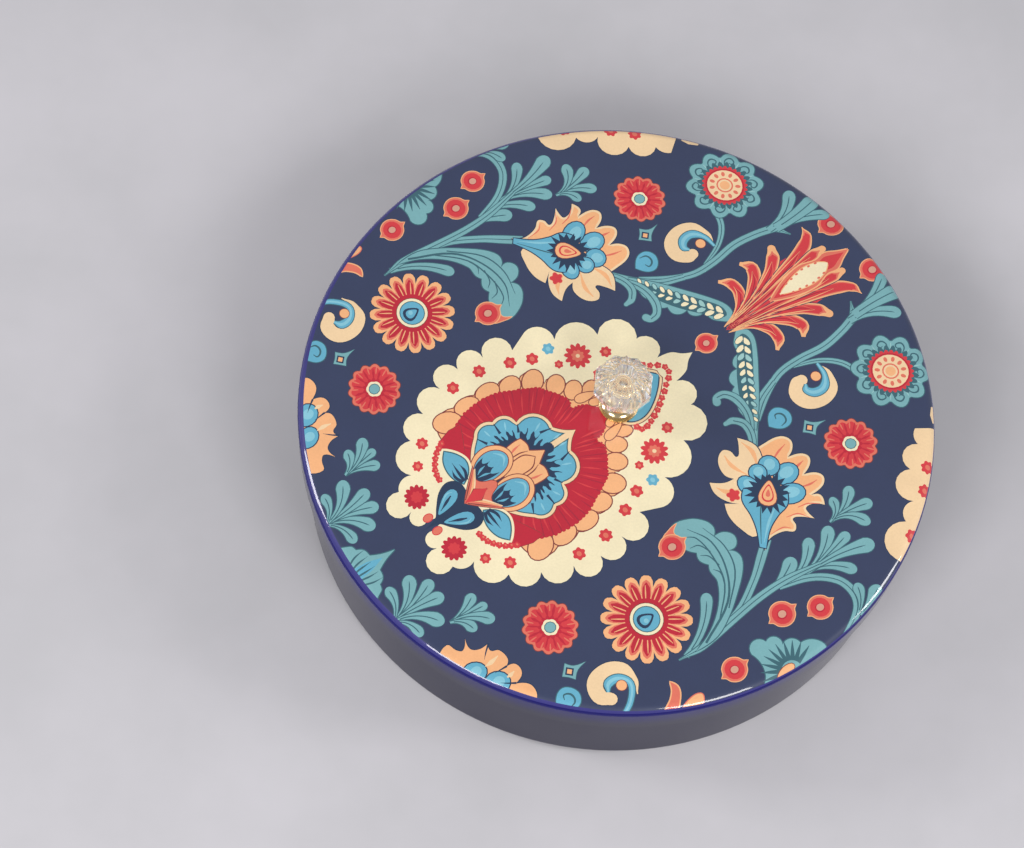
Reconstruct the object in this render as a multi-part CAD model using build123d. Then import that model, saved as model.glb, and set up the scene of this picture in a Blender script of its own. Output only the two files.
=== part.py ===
from build123d import *
import os
from math import atan2, cos, degrees, pi, radians, sin, sqrt

# A round spice box: a drawn steel tub, an overlapping lid with a printed film on
# its top, a cut glass knob, seven loose cups and a small spoon.
# Millimetres, +Z up, origin at the centre of the base.

# Lid: a drawn cap whose skirt overlaps the tub
lid_radius = 120.0
lid_top_height = 60.0
lid_skirt_height = 16.5
lid_shoulder_radius = 3.5
lid_sheet = 0.8

# Printed film on the lid's top, which runs a little way down the shoulder
film_thickness = 0.15
film_edge_angle = 35.0

# Tub: drawn sheet with a rolled bead at its rim
tub_sheet = 0.8
tub_bead_radius = 1.1
tub_base_corner = 4.0

# Cups: six round one, each with a rolled rim
cup_height = 42.0
cup_sheet = 0.6
cup_bead_radius = 0.8
cup_base_corner = 4.0
outer_cup_count = 6

# Spoon: a round dished end on a tapered strip handle
spoon_sheet = 0.9
spoon_dish_radius = 10.5
spoon_dish_depth = 4.5
spoon_handle_length = 52.0
spoon_neck_width = 4.0
spoon_end_width = 7.0
spoon_tilt = 30.0

# Knob: faceted glass on a turned brass foot
knob_facets = 8
foot_height = 8.6
foot_base_radius = 7.5
foot_base_thickness = 0.9
foot_step_radius = 6.5
foot_step_height = 2.3
foot_waist_radius = 4.7
foot_seat_radius = 6.2
foot_seat_thickness = 0.7
glass_foot_radius = 5.8
glass_girdle_radius = 11.3
glass_star_radius = 8.2
glass_table_radius = 4.6
glass_pavilion_height = 8.0
glass_girdle_height = 3.6
glass_crown_height = 4.2
glass_star_height = 2.4

# Fasteners: an M4 screw from below into a brass bush in the glass
screw_radius = 2.0
screw_length = 16.0
screw_head_radius = 4.0
screw_head_height = 2.4
screw_head_edge = 1.0
screw_slot_width = 0.9
screw_slot_length = 4.4
screw_slot_depth = 1.3
washer_radius = 4.5
washer_thickness = 0.8
bush_radius = 3.4
bush_length = 8.0
bush_bore_length = 7.0

# Clearances
skirt_clearance = 0.4
seat_gap = 0.3
floor_gap = 0.3
cup_gap = 0.6
cup_wall_gap = 0.9
spoon_end_gap = 0.8
hole_clearance = 0.2
thread_clearance = 0.05
bond_gap = 0.05

# Lid and tub: the bead nests in the inside of the lid's shoulder
lid_inner_radius = lid_radius - lid_sheet
lid_underside = lid_top_height - lid_sheet
shoulder_centre_radius = lid_radius - lid_shoulder_radius
shoulder_centre_height = lid_top_height - lid_shoulder_radius
bead_centre_radius = lid_inner_radius - skirt_clearance - tub_bead_radius
bead_reach = lid_shoulder_radius - lid_sheet - tub_bead_radius - seat_gap
bead_offset = bead_centre_radius - shoulder_centre_radius
bead_rise = sqrt(max(bead_reach**2 - bead_offset**2, 0.0))
tub_height = shoulder_centre_height + bead_rise + tub_bead_radius
tub_inner_radius = bead_centre_radius - tub_bead_radius
tub_radius = tub_inner_radius + tub_sheet

# Cups: one in the middle and the others packed round it
cup_rim_radius = (tub_inner_radius - cup_wall_gap - cup_gap) / 3
cup_pitch = 2 * cup_rim_radius + cup_gap
cup_inner_radius = cup_rim_radius - 2 * cup_bead_radius
cup_radius = cup_inner_radius + cup_sheet
cup_floor = tub_sheet + floor_gap
cup_names = ["cup_centre"] + [f"cup_{i + 1}" for i in range(outer_cup_count)]

# Knob: heights of the stack from the washer up to the glass table
film_top = lid_top_height + film_thickness
foot_top = film_top + foot_height
washer_bottom = lid_underside - washer_thickness
screw_hole_radius = screw_radius + hole_clearance
glass_girdle_bottom = foot_top + glass_pavilion_height
glass_girdle_top = glass_girdle_bottom + glass_girdle_height
glass_star_level = glass_girdle_top + glass_crown_height
glass_table_level = glass_star_level + glass_star_height


def standing_cylinder(radius, bottom, height):
    """A cylinder on the Z axis that stands on the given level."""
    upright = (Align.CENTER, Align.CENTER, Align.MIN)
    return Pos(0, 0, bottom) * Cylinder(radius, height, align=upright)


def turned(profile):
    """The solid that a closed profile in the XZ plane sweeps round the Z axis."""
    return revolve(Plane.XZ * make_face(profile), Axis.Z, 360)


def beaded_cup(radius, height, sheet, corner, bead_radius):
    """A drawn cup, open at the top, whose rim is rolled outwards into a bead."""
    inner = radius - sheet
    bead_r = inner + bead_radius
    bead_z = height - bead_radius
    bead_drop = sqrt(bead_radius**2 - (radius - bead_r) ** 2)
    bead_start = degrees(atan2(-bead_drop, radius - bead_r))
    profile = [
        Line((0, 0), (radius - corner, 0)),
        CenterArc((radius - corner, corner), corner, -90, 90),
        Line((radius, corner), (radius, bead_z - bead_drop)),
        CenterArc((bead_r, bead_z), bead_radius, bead_start, 180 - bead_start),
        Line((inner, bead_z), (inner, corner)),
        CenterArc((radius - corner, corner), corner - sheet, 0, -90),
        Line((radius - corner, sheet), (0, sheet)),
        Line((0, sheet), (0, 0)),
    ]
    return turned(profile)


def tub_shell():
    return beaded_cup(tub_radius, tub_height, tub_sheet, tub_base_corner, tub_bead_radius)


def lid_shell():
    """The lid's flat top, rounded shoulder and skirt, with the screw's hole."""
    inner_corner = lid_shoulder_radius - lid_sheet
    skirt_bottom = lid_top_height - lid_skirt_height
    centre = (shoulder_centre_radius, shoulder_centre_height)
    profile = [
        Line((screw_hole_radius, lid_top_height), (shoulder_centre_radius, lid_top_height)),
        CenterArc(centre, lid_shoulder_radius, 90, -90),
        Line((lid_radius, shoulder_centre_height), (lid_radius, skirt_bottom)),
        Line((lid_radius, skirt_bottom), (lid_inner_radius, skirt_bottom)),
        Line((lid_inner_radius, skirt_bottom), (lid_inner_radius, shoulder_centre_height)),
        CenterArc(centre, inner_corner, 0, 90),
        Line((shoulder_centre_radius, lid_underside), (screw_hole_radius, lid_underside)),
        Line((screw_hole_radius, lid_underside), (screw_hole_radius, lid_top_height)),
    ]
    return turned(profile)


def lid_printed_film():
    """The printed film, pressed over the flat top and part of the shoulder."""
    sweep = 90 - film_edge_angle
    edge = radians(film_edge_angle)
    film_radius = lid_shoulder_radius + film_thickness
    centre = (shoulder_centre_radius, shoulder_centre_height)
    outer_edge = (centre[0] + film_radius * cos(edge), centre[1] + film_radius * sin(edge))
    inner_edge = (
        centre[0] + lid_shoulder_radius * cos(edge),
        centre[1] + lid_shoulder_radius * sin(edge),
    )
    profile = [
        Line((screw_hole_radius, lid_top_height), (screw_hole_radius, film_top)),
        Line((screw_hole_radius, film_top), (shoulder_centre_radius, film_top)),
        CenterArc(centre, film_radius, 90, -sweep),
        Line(outer_edge, inner_edge),
        CenterArc(centre, lid_shoulder_radius, film_edge_angle, sweep),
        Line((shoulder_centre_radius, lid_top_height), (screw_hole_radius, lid_top_height)),
    ]
    return turned(profile)


def cup_place(index):
    """Where a cup stands: the first in the middle, the others round it."""
    if index == 0:
        return Pos(0, 0, cup_floor)
    angle = 2 * pi * (index - 1) / outer_cup_count
    return Pos(cup_pitch * cos(angle), cup_pitch * sin(angle), cup_floor)


def cup():
    return beaded_cup(cup_radius, cup_height, cup_sheet, cup_base_corner, cup_bead_radius)


def spoon_dish():
    """A dished disc, hollow upwards, with its rim at z = 0."""
    ball_radius = (spoon_dish_radius**2 + spoon_dish_depth**2) / (2 * spoon_dish_depth)
    ball_centre = Pos(0, 0, ball_radius - spoon_dish_depth)
    shell = ball_centre * (Sphere(ball_radius) - Sphere(ball_radius - spoon_sheet))
    below = Pos(0, 0, -ball_radius) * Box(3 * ball_radius, 3 * ball_radius, 2 * ball_radius)
    return shell & below


def spoon_handle():
    """A strip that widens from the dish to a rounded end, its top at z = 0."""
    start = spoon_dish_radius - 2 * spoon_sheet
    end = spoon_dish_radius + spoon_handle_length - spoon_end_width / 2
    neck = spoon_neck_width / 2
    tip = spoon_end_width / 2
    strip = make_face(Polyline((-neck, start), (neck, start), (tip, end), (-tip, end), close=True))
    outline = strip + Pos(0, end) * Circle(tip)
    return extrude(outline, -spoon_sheet)


def spoon():
    """The spoon leans in the middle cup, its end just inside the cup's rim."""
    leaning = Rot(spoon_tilt, 0, 0) * (spoon_dish() + spoon_handle())
    box = leaning.bounding_box()
    cup_bottom = cup_floor + cup_sheet
    along = cup_inner_radius - spoon_end_gap - box.max.Y
    up = cup_bottom + floor_gap - box.min.Z
    return Pos(0, along, up) * leaning


def knob_foot():
    """A turned brass foot: a base ring, a step, a waist and a seat for the glass."""
    waist_level = (foot_step_height + foot_height - foot_seat_thickness) / 2
    hole = screw_hole_radius
    profile = [
        Line((hole, 0), (foot_base_radius, 0)),
        Line((foot_base_radius, 0), (foot_base_radius, foot_base_thickness)),
        Line((foot_base_radius, foot_base_thickness), (foot_step_radius, foot_base_thickness)),
        Line((foot_step_radius, foot_base_thickness), (foot_step_radius, foot_step_height)),
        ThreePointArc(
            (foot_step_radius, foot_step_height),
            (foot_waist_radius, waist_level),
            (foot_seat_radius, foot_height - foot_seat_thickness),
        ),
        Line((foot_seat_radius, foot_height - foot_seat_thickness), (foot_seat_radius, foot_height)),
        Line((foot_seat_radius, foot_height), (hole, foot_height)),
        Line((hole, foot_height), (hole, 0)),
    ]
    return Pos(0, 0, film_top) * turned(profile)


def facet_ring(radius, level, half_turns):
    """The corners of one level of the cut glass, turned by half facets."""
    step = 2 * pi / knob_facets
    angles = [(i + half_turns / 2) * step for i in range(knob_facets)]
    return [Vector(radius * cos(a), radius * sin(a), level) for a in angles]


def facet_band(lower, upper, turned_on):
    """The facets between two levels: flat sides, or triangles between turned levels."""
    if turned_on < 0:
        upper = upper[1:] + upper[:1]
    faces = []
    for i in range(knob_facets):
        ahead = (i + 1) % knob_facets
        if turned_on == 0:
            faces.append([lower[i], lower[ahead], upper[ahead], upper[i]])
        else:
            faces.append([lower[i], lower[ahead], upper[i]])
            faces.append([lower[i], upper[i], upper[i - 1]])
    return faces


def knob_glass():
    """The cut glass: a closed shell of flat facets, bored from below for the bush."""
    levels = [
        (glass_foot_radius, foot_top, 0),
        (glass_girdle_radius, glass_girdle_bottom, 1),
        (glass_girdle_radius, glass_girdle_top, 1),
        (glass_star_radius, glass_star_level, 0),
        (glass_table_radius, glass_table_level, 1),
    ]
    rings = [facet_ring(*level) for level in levels]
    outlines = [rings[0], rings[-1]]
    for k in range(len(levels) - 1):
        outlines += facet_band(rings[k], rings[k + 1], levels[k + 1][2] - levels[k][2])
    faces = [Face(Wire.make_polygon(outline, close=True)) for outline in outlines]
    bore_depth = bush_length + bond_gap
    return Solid(Shell(faces)) - standing_cylinder(bush_radius + bond_gap, foot_top, bore_depth)


def knob_bush():
    """The brass bush, bonded into the glass, with a blind threaded bore."""
    body = standing_cylinder(bush_radius, foot_top, bush_length)
    return body - standing_cylinder(screw_radius + thread_clearance, foot_top, bush_bore_length)


def knob_washer():
    disc = standing_cylinder(washer_radius, washer_bottom, washer_thickness)
    return disc - standing_cylinder(screw_hole_radius, washer_bottom, washer_thickness)


def knob_screw():
    """The screw, head down, with a cross recess in the head."""
    head = standing_cylinder(screw_head_radius, washer_bottom - screw_head_height, screw_head_height)
    head = fillet(head.edges().sort_by(Axis.Z)[0], screw_head_edge)
    recess_level = washer_bottom - screw_head_height + screw_slot_depth / 2
    recess = Box(screw_slot_length, screw_slot_width, screw_slot_depth)
    recess += Box(screw_slot_width, screw_slot_length, screw_slot_depth)
    head -= Pos(0, 0, recess_level) * recess
    return head + standing_cylinder(screw_radius, washer_bottom, screw_length)


pieces = {
    "tub_shell": tub_shell(),
    "lid_shell": lid_shell(),
    "lid_printed_film": lid_printed_film(),
    "knob_foot": knob_foot(),
    "knob_glass": knob_glass(),
    "knob_bush": knob_bush(),
    "knob_washer": knob_washer(),
    "knob_screw": knob_screw(),
    "spoon": spoon(),
}
for index, name in enumerate(cup_names):
    pieces[name] = cup_place(index) * cup()

os.makedirs("parts", exist_ok=True)
for name, piece in pieces.items():
    piece.label = name
    export_step(piece, f"parts/{name}.step")
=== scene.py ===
"""Round spice box with a printed lid, a cut glass knob and seven steel cups, dressed around its CAD frame."""

import math
import random

import bmesh
import bpy
import numpy as np
from bpy.props import FloatProperty, FloatVectorProperty, IntProperty, PointerProperty
from mathutils import Matrix, Vector
from mathutils.geometry import delaunay_2d_cdt


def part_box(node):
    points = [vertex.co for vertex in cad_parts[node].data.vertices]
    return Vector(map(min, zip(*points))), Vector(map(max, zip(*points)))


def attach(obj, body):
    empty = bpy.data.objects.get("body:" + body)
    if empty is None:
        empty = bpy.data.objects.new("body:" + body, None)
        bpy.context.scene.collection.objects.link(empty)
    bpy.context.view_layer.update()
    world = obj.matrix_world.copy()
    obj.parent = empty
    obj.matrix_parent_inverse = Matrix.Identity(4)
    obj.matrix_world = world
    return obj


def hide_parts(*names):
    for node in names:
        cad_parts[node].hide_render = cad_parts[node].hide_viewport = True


bl_info = {
    "name": "Round Spice Box",
    "version": (1, 0, 0),
    "blender": (4, 5, 0),
    "location": "3D View > Sidebar > Spice Box",
    "description": "Builds the looks of a round spice box: lid print, enamel, cut glass, brass and steel",
    "category": "Object",
}

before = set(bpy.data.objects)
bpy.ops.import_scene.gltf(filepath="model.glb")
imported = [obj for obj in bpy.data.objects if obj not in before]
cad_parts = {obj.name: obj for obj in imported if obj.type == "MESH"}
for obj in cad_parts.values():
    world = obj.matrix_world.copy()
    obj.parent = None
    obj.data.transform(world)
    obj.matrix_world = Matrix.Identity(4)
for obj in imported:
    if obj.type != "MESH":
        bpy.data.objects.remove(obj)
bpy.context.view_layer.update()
MM = 0.001

# Middle part of the range of a noise texture, where nearly all its values lie.
NOISE_LOW, NOISE_HIGH = 0.3, 0.7
# The drawn sheet of tub and lid, and the tub's outer radius and outer corner radius at its base.
SHEET = 0.8 * MM
TUB_RADIUS, TUB_CORNER = 117.4 * MM, 4.0 * MM
# Painted shade: between these heights the lid's cobalt darkens downwards into the tub's slate, standing in
# for the shadowed floor that the lower skirt reflects.
SHADE_FADE_END, SHADE_FADE_START = 45 * MM, 58 * MM

# The camera that the photograph's ellipses gave: its place in metres, how far it looks down and is rolled.
CAMERA_SPOT = (-0.03868, -0.37183, 0.87909)
CAMERA_DOWN, CAMERA_ROLL = math.radians(66.352), math.radians(7.253)
CAMERA_LENS, CAMERA_SENSOR = 84.375, 36.0
# Soft boxes in front and at the sides: name, place and size in metres, power in watts.
LAMPS = (
    ("front_left", (-0.66, -1.10, 1.12), 0.52, 0.46, 9.4),
    ("front_right", (0.76, -1.06, 1.12), 0.52, 0.46, 9.4),
    ("side_left", (-1.45, 0.02, 0.95), 0.36, 0.60, 8.6),
    ("side_right", (1.50, -0.12, 0.95), 0.36, 0.60, 8.6),
)
LAMP_TARGET = (0, 0, 0.03)

# The printed disc's middle lies this far along X from the lid's axis, in mm.
DISC_MIDDLE = 1.0
# Sides of the big circles and of the screw's hole in the print, and rings of faces round the shoulder.
ROUND_STEPS, HOLE_STEPS, SHOULDER_RINGS = 720, 48, 5

# The crystal's eight sides, and the points of its outline.
CRYSTAL_SIDES, CRYSTAL_POINTS = 8, 64
# The crystal stands off its foot by this, in mm, because a face on a face renders black.
CRYSTAL_SEAT = 0.1
# The bore for the bush, in mm from the crystal's foot.
BORE_RADIUS, BORE_TOP = 3.55, 8.15
# Height in mm, share of the corner radius, share of round, flute depth, and whether it is turned half a side.
CRYSTAL_LEVELS = (
    (CRYSTAL_SEAT, 0.51, 1.0, 0.00, False),
    (1.2, 0.58, 1.0, 0.12, False),
    (4.6, 0.80, 0.5, 0.13, False),
    (7.6, 0.965, 0.0, 0.08, False),
    (8.0, 1.0, 0.0, 0.00, False),
    (11.6, 1.0, 0.0, 0.00, False),
    (13.6, 0.90, 0.0, 0.03, True),
    (15.8, 0.727, 0.0, 0.03, True),
    (18.2, 0.41, 0.0, 0.00, False),
)
# The bush's grooved top and its hole, in mm: radius, and height below its top.
BUSH_TOP = ((2.5, 0), (2.35, 0.35), (2.15, 0.35), (2.0, 0), (1.7, 0), (0.9, 1.3), (0.9, 2.6), (0, 2.6))
BUSH_CHAMFER, BUSH_STEPS = 0.4, 48


def linear(colour):
    """An sRGB hex colour such as "2b3452" as linear light."""
    parts = [int(colour[i : i + 2], 16) / 255 for i in (0, 2, 4)]
    return (*(c / 12.92 if c <= 0.04045 else ((c + 0.055) / 1.055) ** 2.4 for c in parts), 1.0)


def hex_of(colour, lift=0.0):
    """A stored colour as hex, a little lighter or darker."""
    return "".join(f"{int(255 * min(1, max(0, c + lift))):02x}" for c in colour)


def add(tree, kind, inputs=None, **settings):
    """Adds a node. settings are its properties, inputs its sockets by name or number. Each input is a value,
    a socket, or a node, which stands for its first output in use."""
    node = tree.nodes.new(kind)
    for name, value in settings.items():
        setattr(node, name, value)
    for name, value in (inputs or {}).items():
        if isinstance(value, bpy.types.Node):
            value = next(out for out in value.outputs if out.enabled)
        if isinstance(value, bpy.types.NodeSocket):
            tree.links.new(value, node.inputs[name])
        else:
            node.inputs[name].default_value = value
    return node


def new_material(name):
    """An empty node material, and its Object coordinates."""
    material = bpy.data.materials.new(name)
    material.use_nodes = True
    material.node_tree.nodes.clear()
    return material, material.node_tree, add(material.node_tree, "ShaderNodeTexCoord").outputs["Object"]


def dress(node, material):
    """Gives a CAD node this material in every slot."""
    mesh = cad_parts[node].data
    if not mesh.materials:
        mesh.materials.append(material)
    for i in range(len(mesh.materials)):
        mesh.materials[i] = material


def new_piece(name, bm, material):
    """A finished bmesh as an object of the scene."""
    mesh = bpy.data.meshes.new(name)
    bm.to_mesh(mesh)
    bm.free()
    mesh.materials.append(material)
    piece = bpy.data.objects.new(name, mesh)
    bpy.context.scene.collection.objects.link(piece)
    return piece


def extrude_ring(bm, edges, moved):
    """Extrudes a ring of open edges, puts the new vertices where moved says, and gives the new ring."""
    made = bmesh.ops.extrude_edge_only(bm, edges=edges)["geom"]
    for vert in (g for g in made if isinstance(g, bmesh.types.BMVert)):
        vert.co = moved(vert.co)
    return [g for g in made if isinstance(g, bmesh.types.BMEdge) and g.is_boundary]


def signed_area(corners):
    """Twice an outline's area, positive where it runs anticlockwise."""
    return sum(a[0] * b[1] - a[1] * b[0] for a, b in zip(corners, corners[1:] + corners[:1]))


INKS = {
    "rim": "2b2878", "ground": "2b3657", "dark": "17304f", "cream": "efe2bd", "sand": "edcda2",
    "peach": "efb07c", "coral": "dc6f5a", "red": "cf333b", "crimson": "b9142f", "wine": "a31430",
    "brown": "7c3230", "clay": "cf9a84", "teal": "74a9af", "mint": "97c3c2", "pine": "33606c",
    "blue": "5fa9c4", "sky": "82c0d2",
}


# The print's axis of symmetry lies at this x, in mm. The left half of the sheet is shorter than the right
# one, by this share of a height for each mm from the axis, counted from this middle.
AXIS = -0.3
LEFT_SHORTER, LEFT_MIDDLE = 0.0005, 8


def between(a, b, t):
    """The point at share t of the way from a to b."""
    return (a[0] + (b[0] - a[0]) * t, a[1] + (b[1] - a[1]) * t)


def smooth(points, closed=True, steps=5):
    """Corners on a smooth line through the points. A point with a third value of 1 stays a sharp corner."""
    count = len(points)
    ways = []
    for i, p in enumerate(points):
        a = points[i - 1] if closed or i else p
        b = points[(i + 1) % count] if closed or i < count - 1 else p
        size = math.hypot(b[0] - a[0], b[1] - a[1]) or 1
        ways.append(((b[0] - a[0]) / size, (b[1] - a[1]) / size))
    line = []
    for i in range(count if closed else count - 1):
        j = (i + 1) % count
        p, q = points[i], points[j]
        chord = math.hypot(q[0] - p[0], q[1] - p[1])
        sharp_p = len(p) > 2 and p[2] == 1
        sharp_q = len(q) > 2 and q[2] == 1
        m = [w * chord for w in ways[i]]
        n = [w * chord for w in ways[j]]
        if sharp_p and sharp_q:
            line.append((p[0], p[1]))
            continue
        if sharp_p:
            m = [1.5 * (q[k] - p[k]) - 0.5 * n[k] for k in (0, 1)]
        if sharp_q:
            n = [1.5 * (q[k] - p[k]) - 0.5 * m[k] for k in (0, 1)]
        for s in range(steps):
            t = s / steps
            a, b = 2 * t**3 - 3 * t**2 + 1, t**3 - 2 * t**2 + t
            c, d = 3 * t**2 - 2 * t**3, t**3 - t**2
            line.append(tuple(a * p[k] + b * m[k] + c * q[k] + d * n[k] for k in (0, 1)))
    if not closed:
        line.append((points[-1][0], points[-1][1]))
    return line


def arc(p, via, q, steps):
    """Corners on the round line from p through via to q, without q."""
    ax, ay, bx, by = via[0] - p[0], via[1] - p[1], q[0] - p[0], q[1] - p[1]
    cross = 2 * (ax * by - ay * bx)
    if abs(cross) < 1e-6:
        return [p]
    a2, b2 = ax * ax + ay * ay, bx * bx + by * by
    cx, cy = p[0] + (by * a2 - ay * b2) / cross, p[1] + (ax * b2 - bx * a2) / cross
    start = math.atan2(p[1] - cy, p[0] - cx)
    end = math.atan2(q[1] - cy, q[0] - cx)
    radius = math.hypot(p[0] - cx, p[1] - cy)
    turn = (end - start) % math.tau if cross > 0 else -((start - end) % math.tau)
    return [
        (cx + radius * math.cos(start + turn * s / steps), cy + radius * math.sin(start + turn * s / steps))
        for s in range(steps)
    ]


def scallops(points, steps=9):
    """A line of round lobes: points go valley, top of the lobe, valley, top, ... and end on a valley."""
    line = []
    for i in range(0, len(points) - 2, 2):
        line += arc(points[i], points[i + 1], points[i + 2], steps)
    return line + [points[-1]]


def oval(x, y, rx, ry=None, turn=0.0, steps=16):
    """An oval's corners, turned by degrees."""
    ry = rx if ry is None else ry
    c, s = math.cos(math.radians(turn)), math.sin(math.radians(turn))
    ring = [math.tau * i / steps for i in range(steps)]
    return [
        (x + rx * math.cos(a) * c - ry * math.sin(a) * s, y + rx * math.cos(a) * s + ry * math.sin(a) * c)
        for a in ring
    ]


def teardrop(x, y, width, length, turn=0.0):
    """A drop with its round end towards -Y before it is turned, and its point at length from its middle."""
    c, s = math.cos(math.radians(turn)), math.sin(math.radians(turn))
    corners = []
    for i in range(18):
        a = math.tau * i / 18
        px = width / 2.6 * math.cos(a) * (1 - 0.5 * math.sin(a))
        py = length / 2 * math.sin(a)
        corners.append((x + px * c - py * s, y + px * s + py * c))
    return corners


def flower(x, y, radius, petals, depth, turn=0.0, steps=8):
    """A ring of round petals. depth is how far the gaps between them reach in, as a share of the radius."""
    corners = []
    for i in range(petals * steps):
        a = math.tau * i / (petals * steps) + math.radians(turn)
        wave = abs(math.cos(petals * (a - math.radians(turn)) / 2))
        r = radius * (1 - depth + depth * wave)
        corners.append((x + r * math.cos(a), y + r * math.sin(a)))
    return corners


def grown(corners, by):
    """The same outline, moved outwards along its normals by this many millimetres."""
    side = by if signed_area(corners) > 0 else -by
    count = len(corners)
    moved = []
    for i, p in enumerate(corners):
        a, b = corners[i - 1], corners[(i + 1) % count]
        dx, dy = b[0] - a[0], b[1] - a[1]
        size = math.hypot(dx, dy) or 1
        moved.append((p[0] + dy / size * side, p[1] - dx / size * side))
    return moved


class Artwork:
    """The print as flat shapes in painter's order, in the print's own millimetres: its axis runs up, and what
    is laid down on its right half is mirrored onto its left half."""

    def __init__(self, seed):
        self.shapes = []
        self.random = random.Random(seed)

    def lay(self, ink, corners, both=True):
        self.shapes.append((ink, list(corners)))
        if both:
            flipped = [(2 * AXIS - x, y - LEFT_SHORTER * x * (y - LEFT_MIDDLE)) for x, y in corners]
            self.shapes.append((ink, flipped))

    def edged(self, ink, edge, width, corners, both=True):
        self.lay(edge, grown(corners, width), both)
        self.lay(ink, corners, both)

    def stroke(self, ink, points, steps=5, round_end=False):
        """A brush stroke. Each point has its own width as its third value."""
        line = smooth([(p[0], p[1]) for p in points], closed=False, steps=steps)
        last = len(line) - 1
        sides = []
        for i, p in enumerate(line):
            a, b = line[max(i - 1, 0)], line[min(i + 1, last)]
            size = math.hypot(b[0] - a[0], b[1] - a[1]) or 1
            nx, ny = -(b[1] - a[1]) / size, (b[0] - a[0]) / size
            at = i / steps
            k = min(int(at), len(points) - 2)
            t = at - k
            t = t * t * (3 - 2 * t)
            half = (points[k][2] + (points[k + 1][2] - points[k][2]) * t) / 2
            sides.append(((p[0] + nx * half, p[1] + ny * half), (p[0] - nx * half, p[1] - ny * half)))
        for (a, b), (c, d) in zip(sides, sides[1:]):
            self.lay(ink, [a, b, d, c])
        if round_end:
            self.lay(ink, oval(*line[-1], points[-1][2] / 2, steps=12))

    def lobe(self, base, tip, width, bend, foot=0.16):
        """A leaf lobe: narrow at its base, widest near its round tip, bent to one side by a share of its
        length."""
        dx, dy = tip[0] - base[0], tip[1] - base[1]
        size = math.hypot(dx, dy)
        middle = ((base[0] + tip[0]) / 2 - dy * bend, (base[1] + tip[1]) / 2 + dx * bend)
        cap = min(0.3, 0.62 * width / size)
        line = []
        steps = 13
        for i in range(steps + 1):
            t = math.sin(math.pi / 2 * i / steps)
            p = between(between(base, middle, t), between(middle, tip, t), t)
            swell = foot + (1 - foot) * min(1, t / (1 - cap)) ** 1.7
            end = math.sqrt(max(0.0, 1 - max(0.0, (t - 1 + cap) / cap) ** 2))
            line.append((p[0], p[1], width * swell * end))
        self.stroke("pine", [(x, y, w + 0.7 if w > 0 else 0.5) for x, y, w in line], steps=1)
        self.stroke("teal", line, steps=1)
        if size > 5:
            spine = line[1 : steps - 3]
            self.stroke("pine", [(x, y, 0.42) for x, y, _ in spine[:-1]] + [(*spine[-1][:2], 0.1)], steps=1)

    def stem(self, points):
        """A stalk with a darker edge and a fine line along its middle."""
        self.stroke("pine", [(x, y, w + 0.6) for x, y, w in points])
        self.stroke("teal", points)
        self.stroke("pine", [(x, y, 0.35 if w > 1.2 else 0.15) for x, y, w in points])

    def bud(self, x, y, r, both=True):
        """A red bud with a pale edge, pointed at both ends."""
        half = [(0.2, 1.06), (0.62, 0.82), (0.96, 0.3), (0.96, -0.3), (0.62, -0.82), (0.2, -1.02)]
        ring = [(x, y + r * 1.4, 1)] + [(x + r * a, y + r * b) for a, b in half]
        ring += [(x, y - r * 1.32, 1)] + [(x - r * a, y + r * b) for a, b in reversed(half)]
        ring = smooth(ring, steps=3)
        self.edged("coral", "peach", 0.35, ring, both)
        self.lay("red", oval(x, y, r * 0.84, r * 0.84), both)
        self.lay("crimson", oval(x + 0.1, y - 0.1, r * 0.4, r * 0.44), both)
        self.lay("clay", oval(x, y, r * 0.3, r * 0.34), both)

    def tiny_flower(self, x, y, r, ink="red"):
        """A small loose flower with a lighter heart."""
        petals = self.random.choice((6, 7))
        self.lay(ink, flower(x, y, r, petals, 0.3, self.random.uniform(0, 60), 5))
        self.lay("coral" if ink == "red" else "sky", oval(x, y, r * 0.42, r * 0.36, steps=8))


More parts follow.
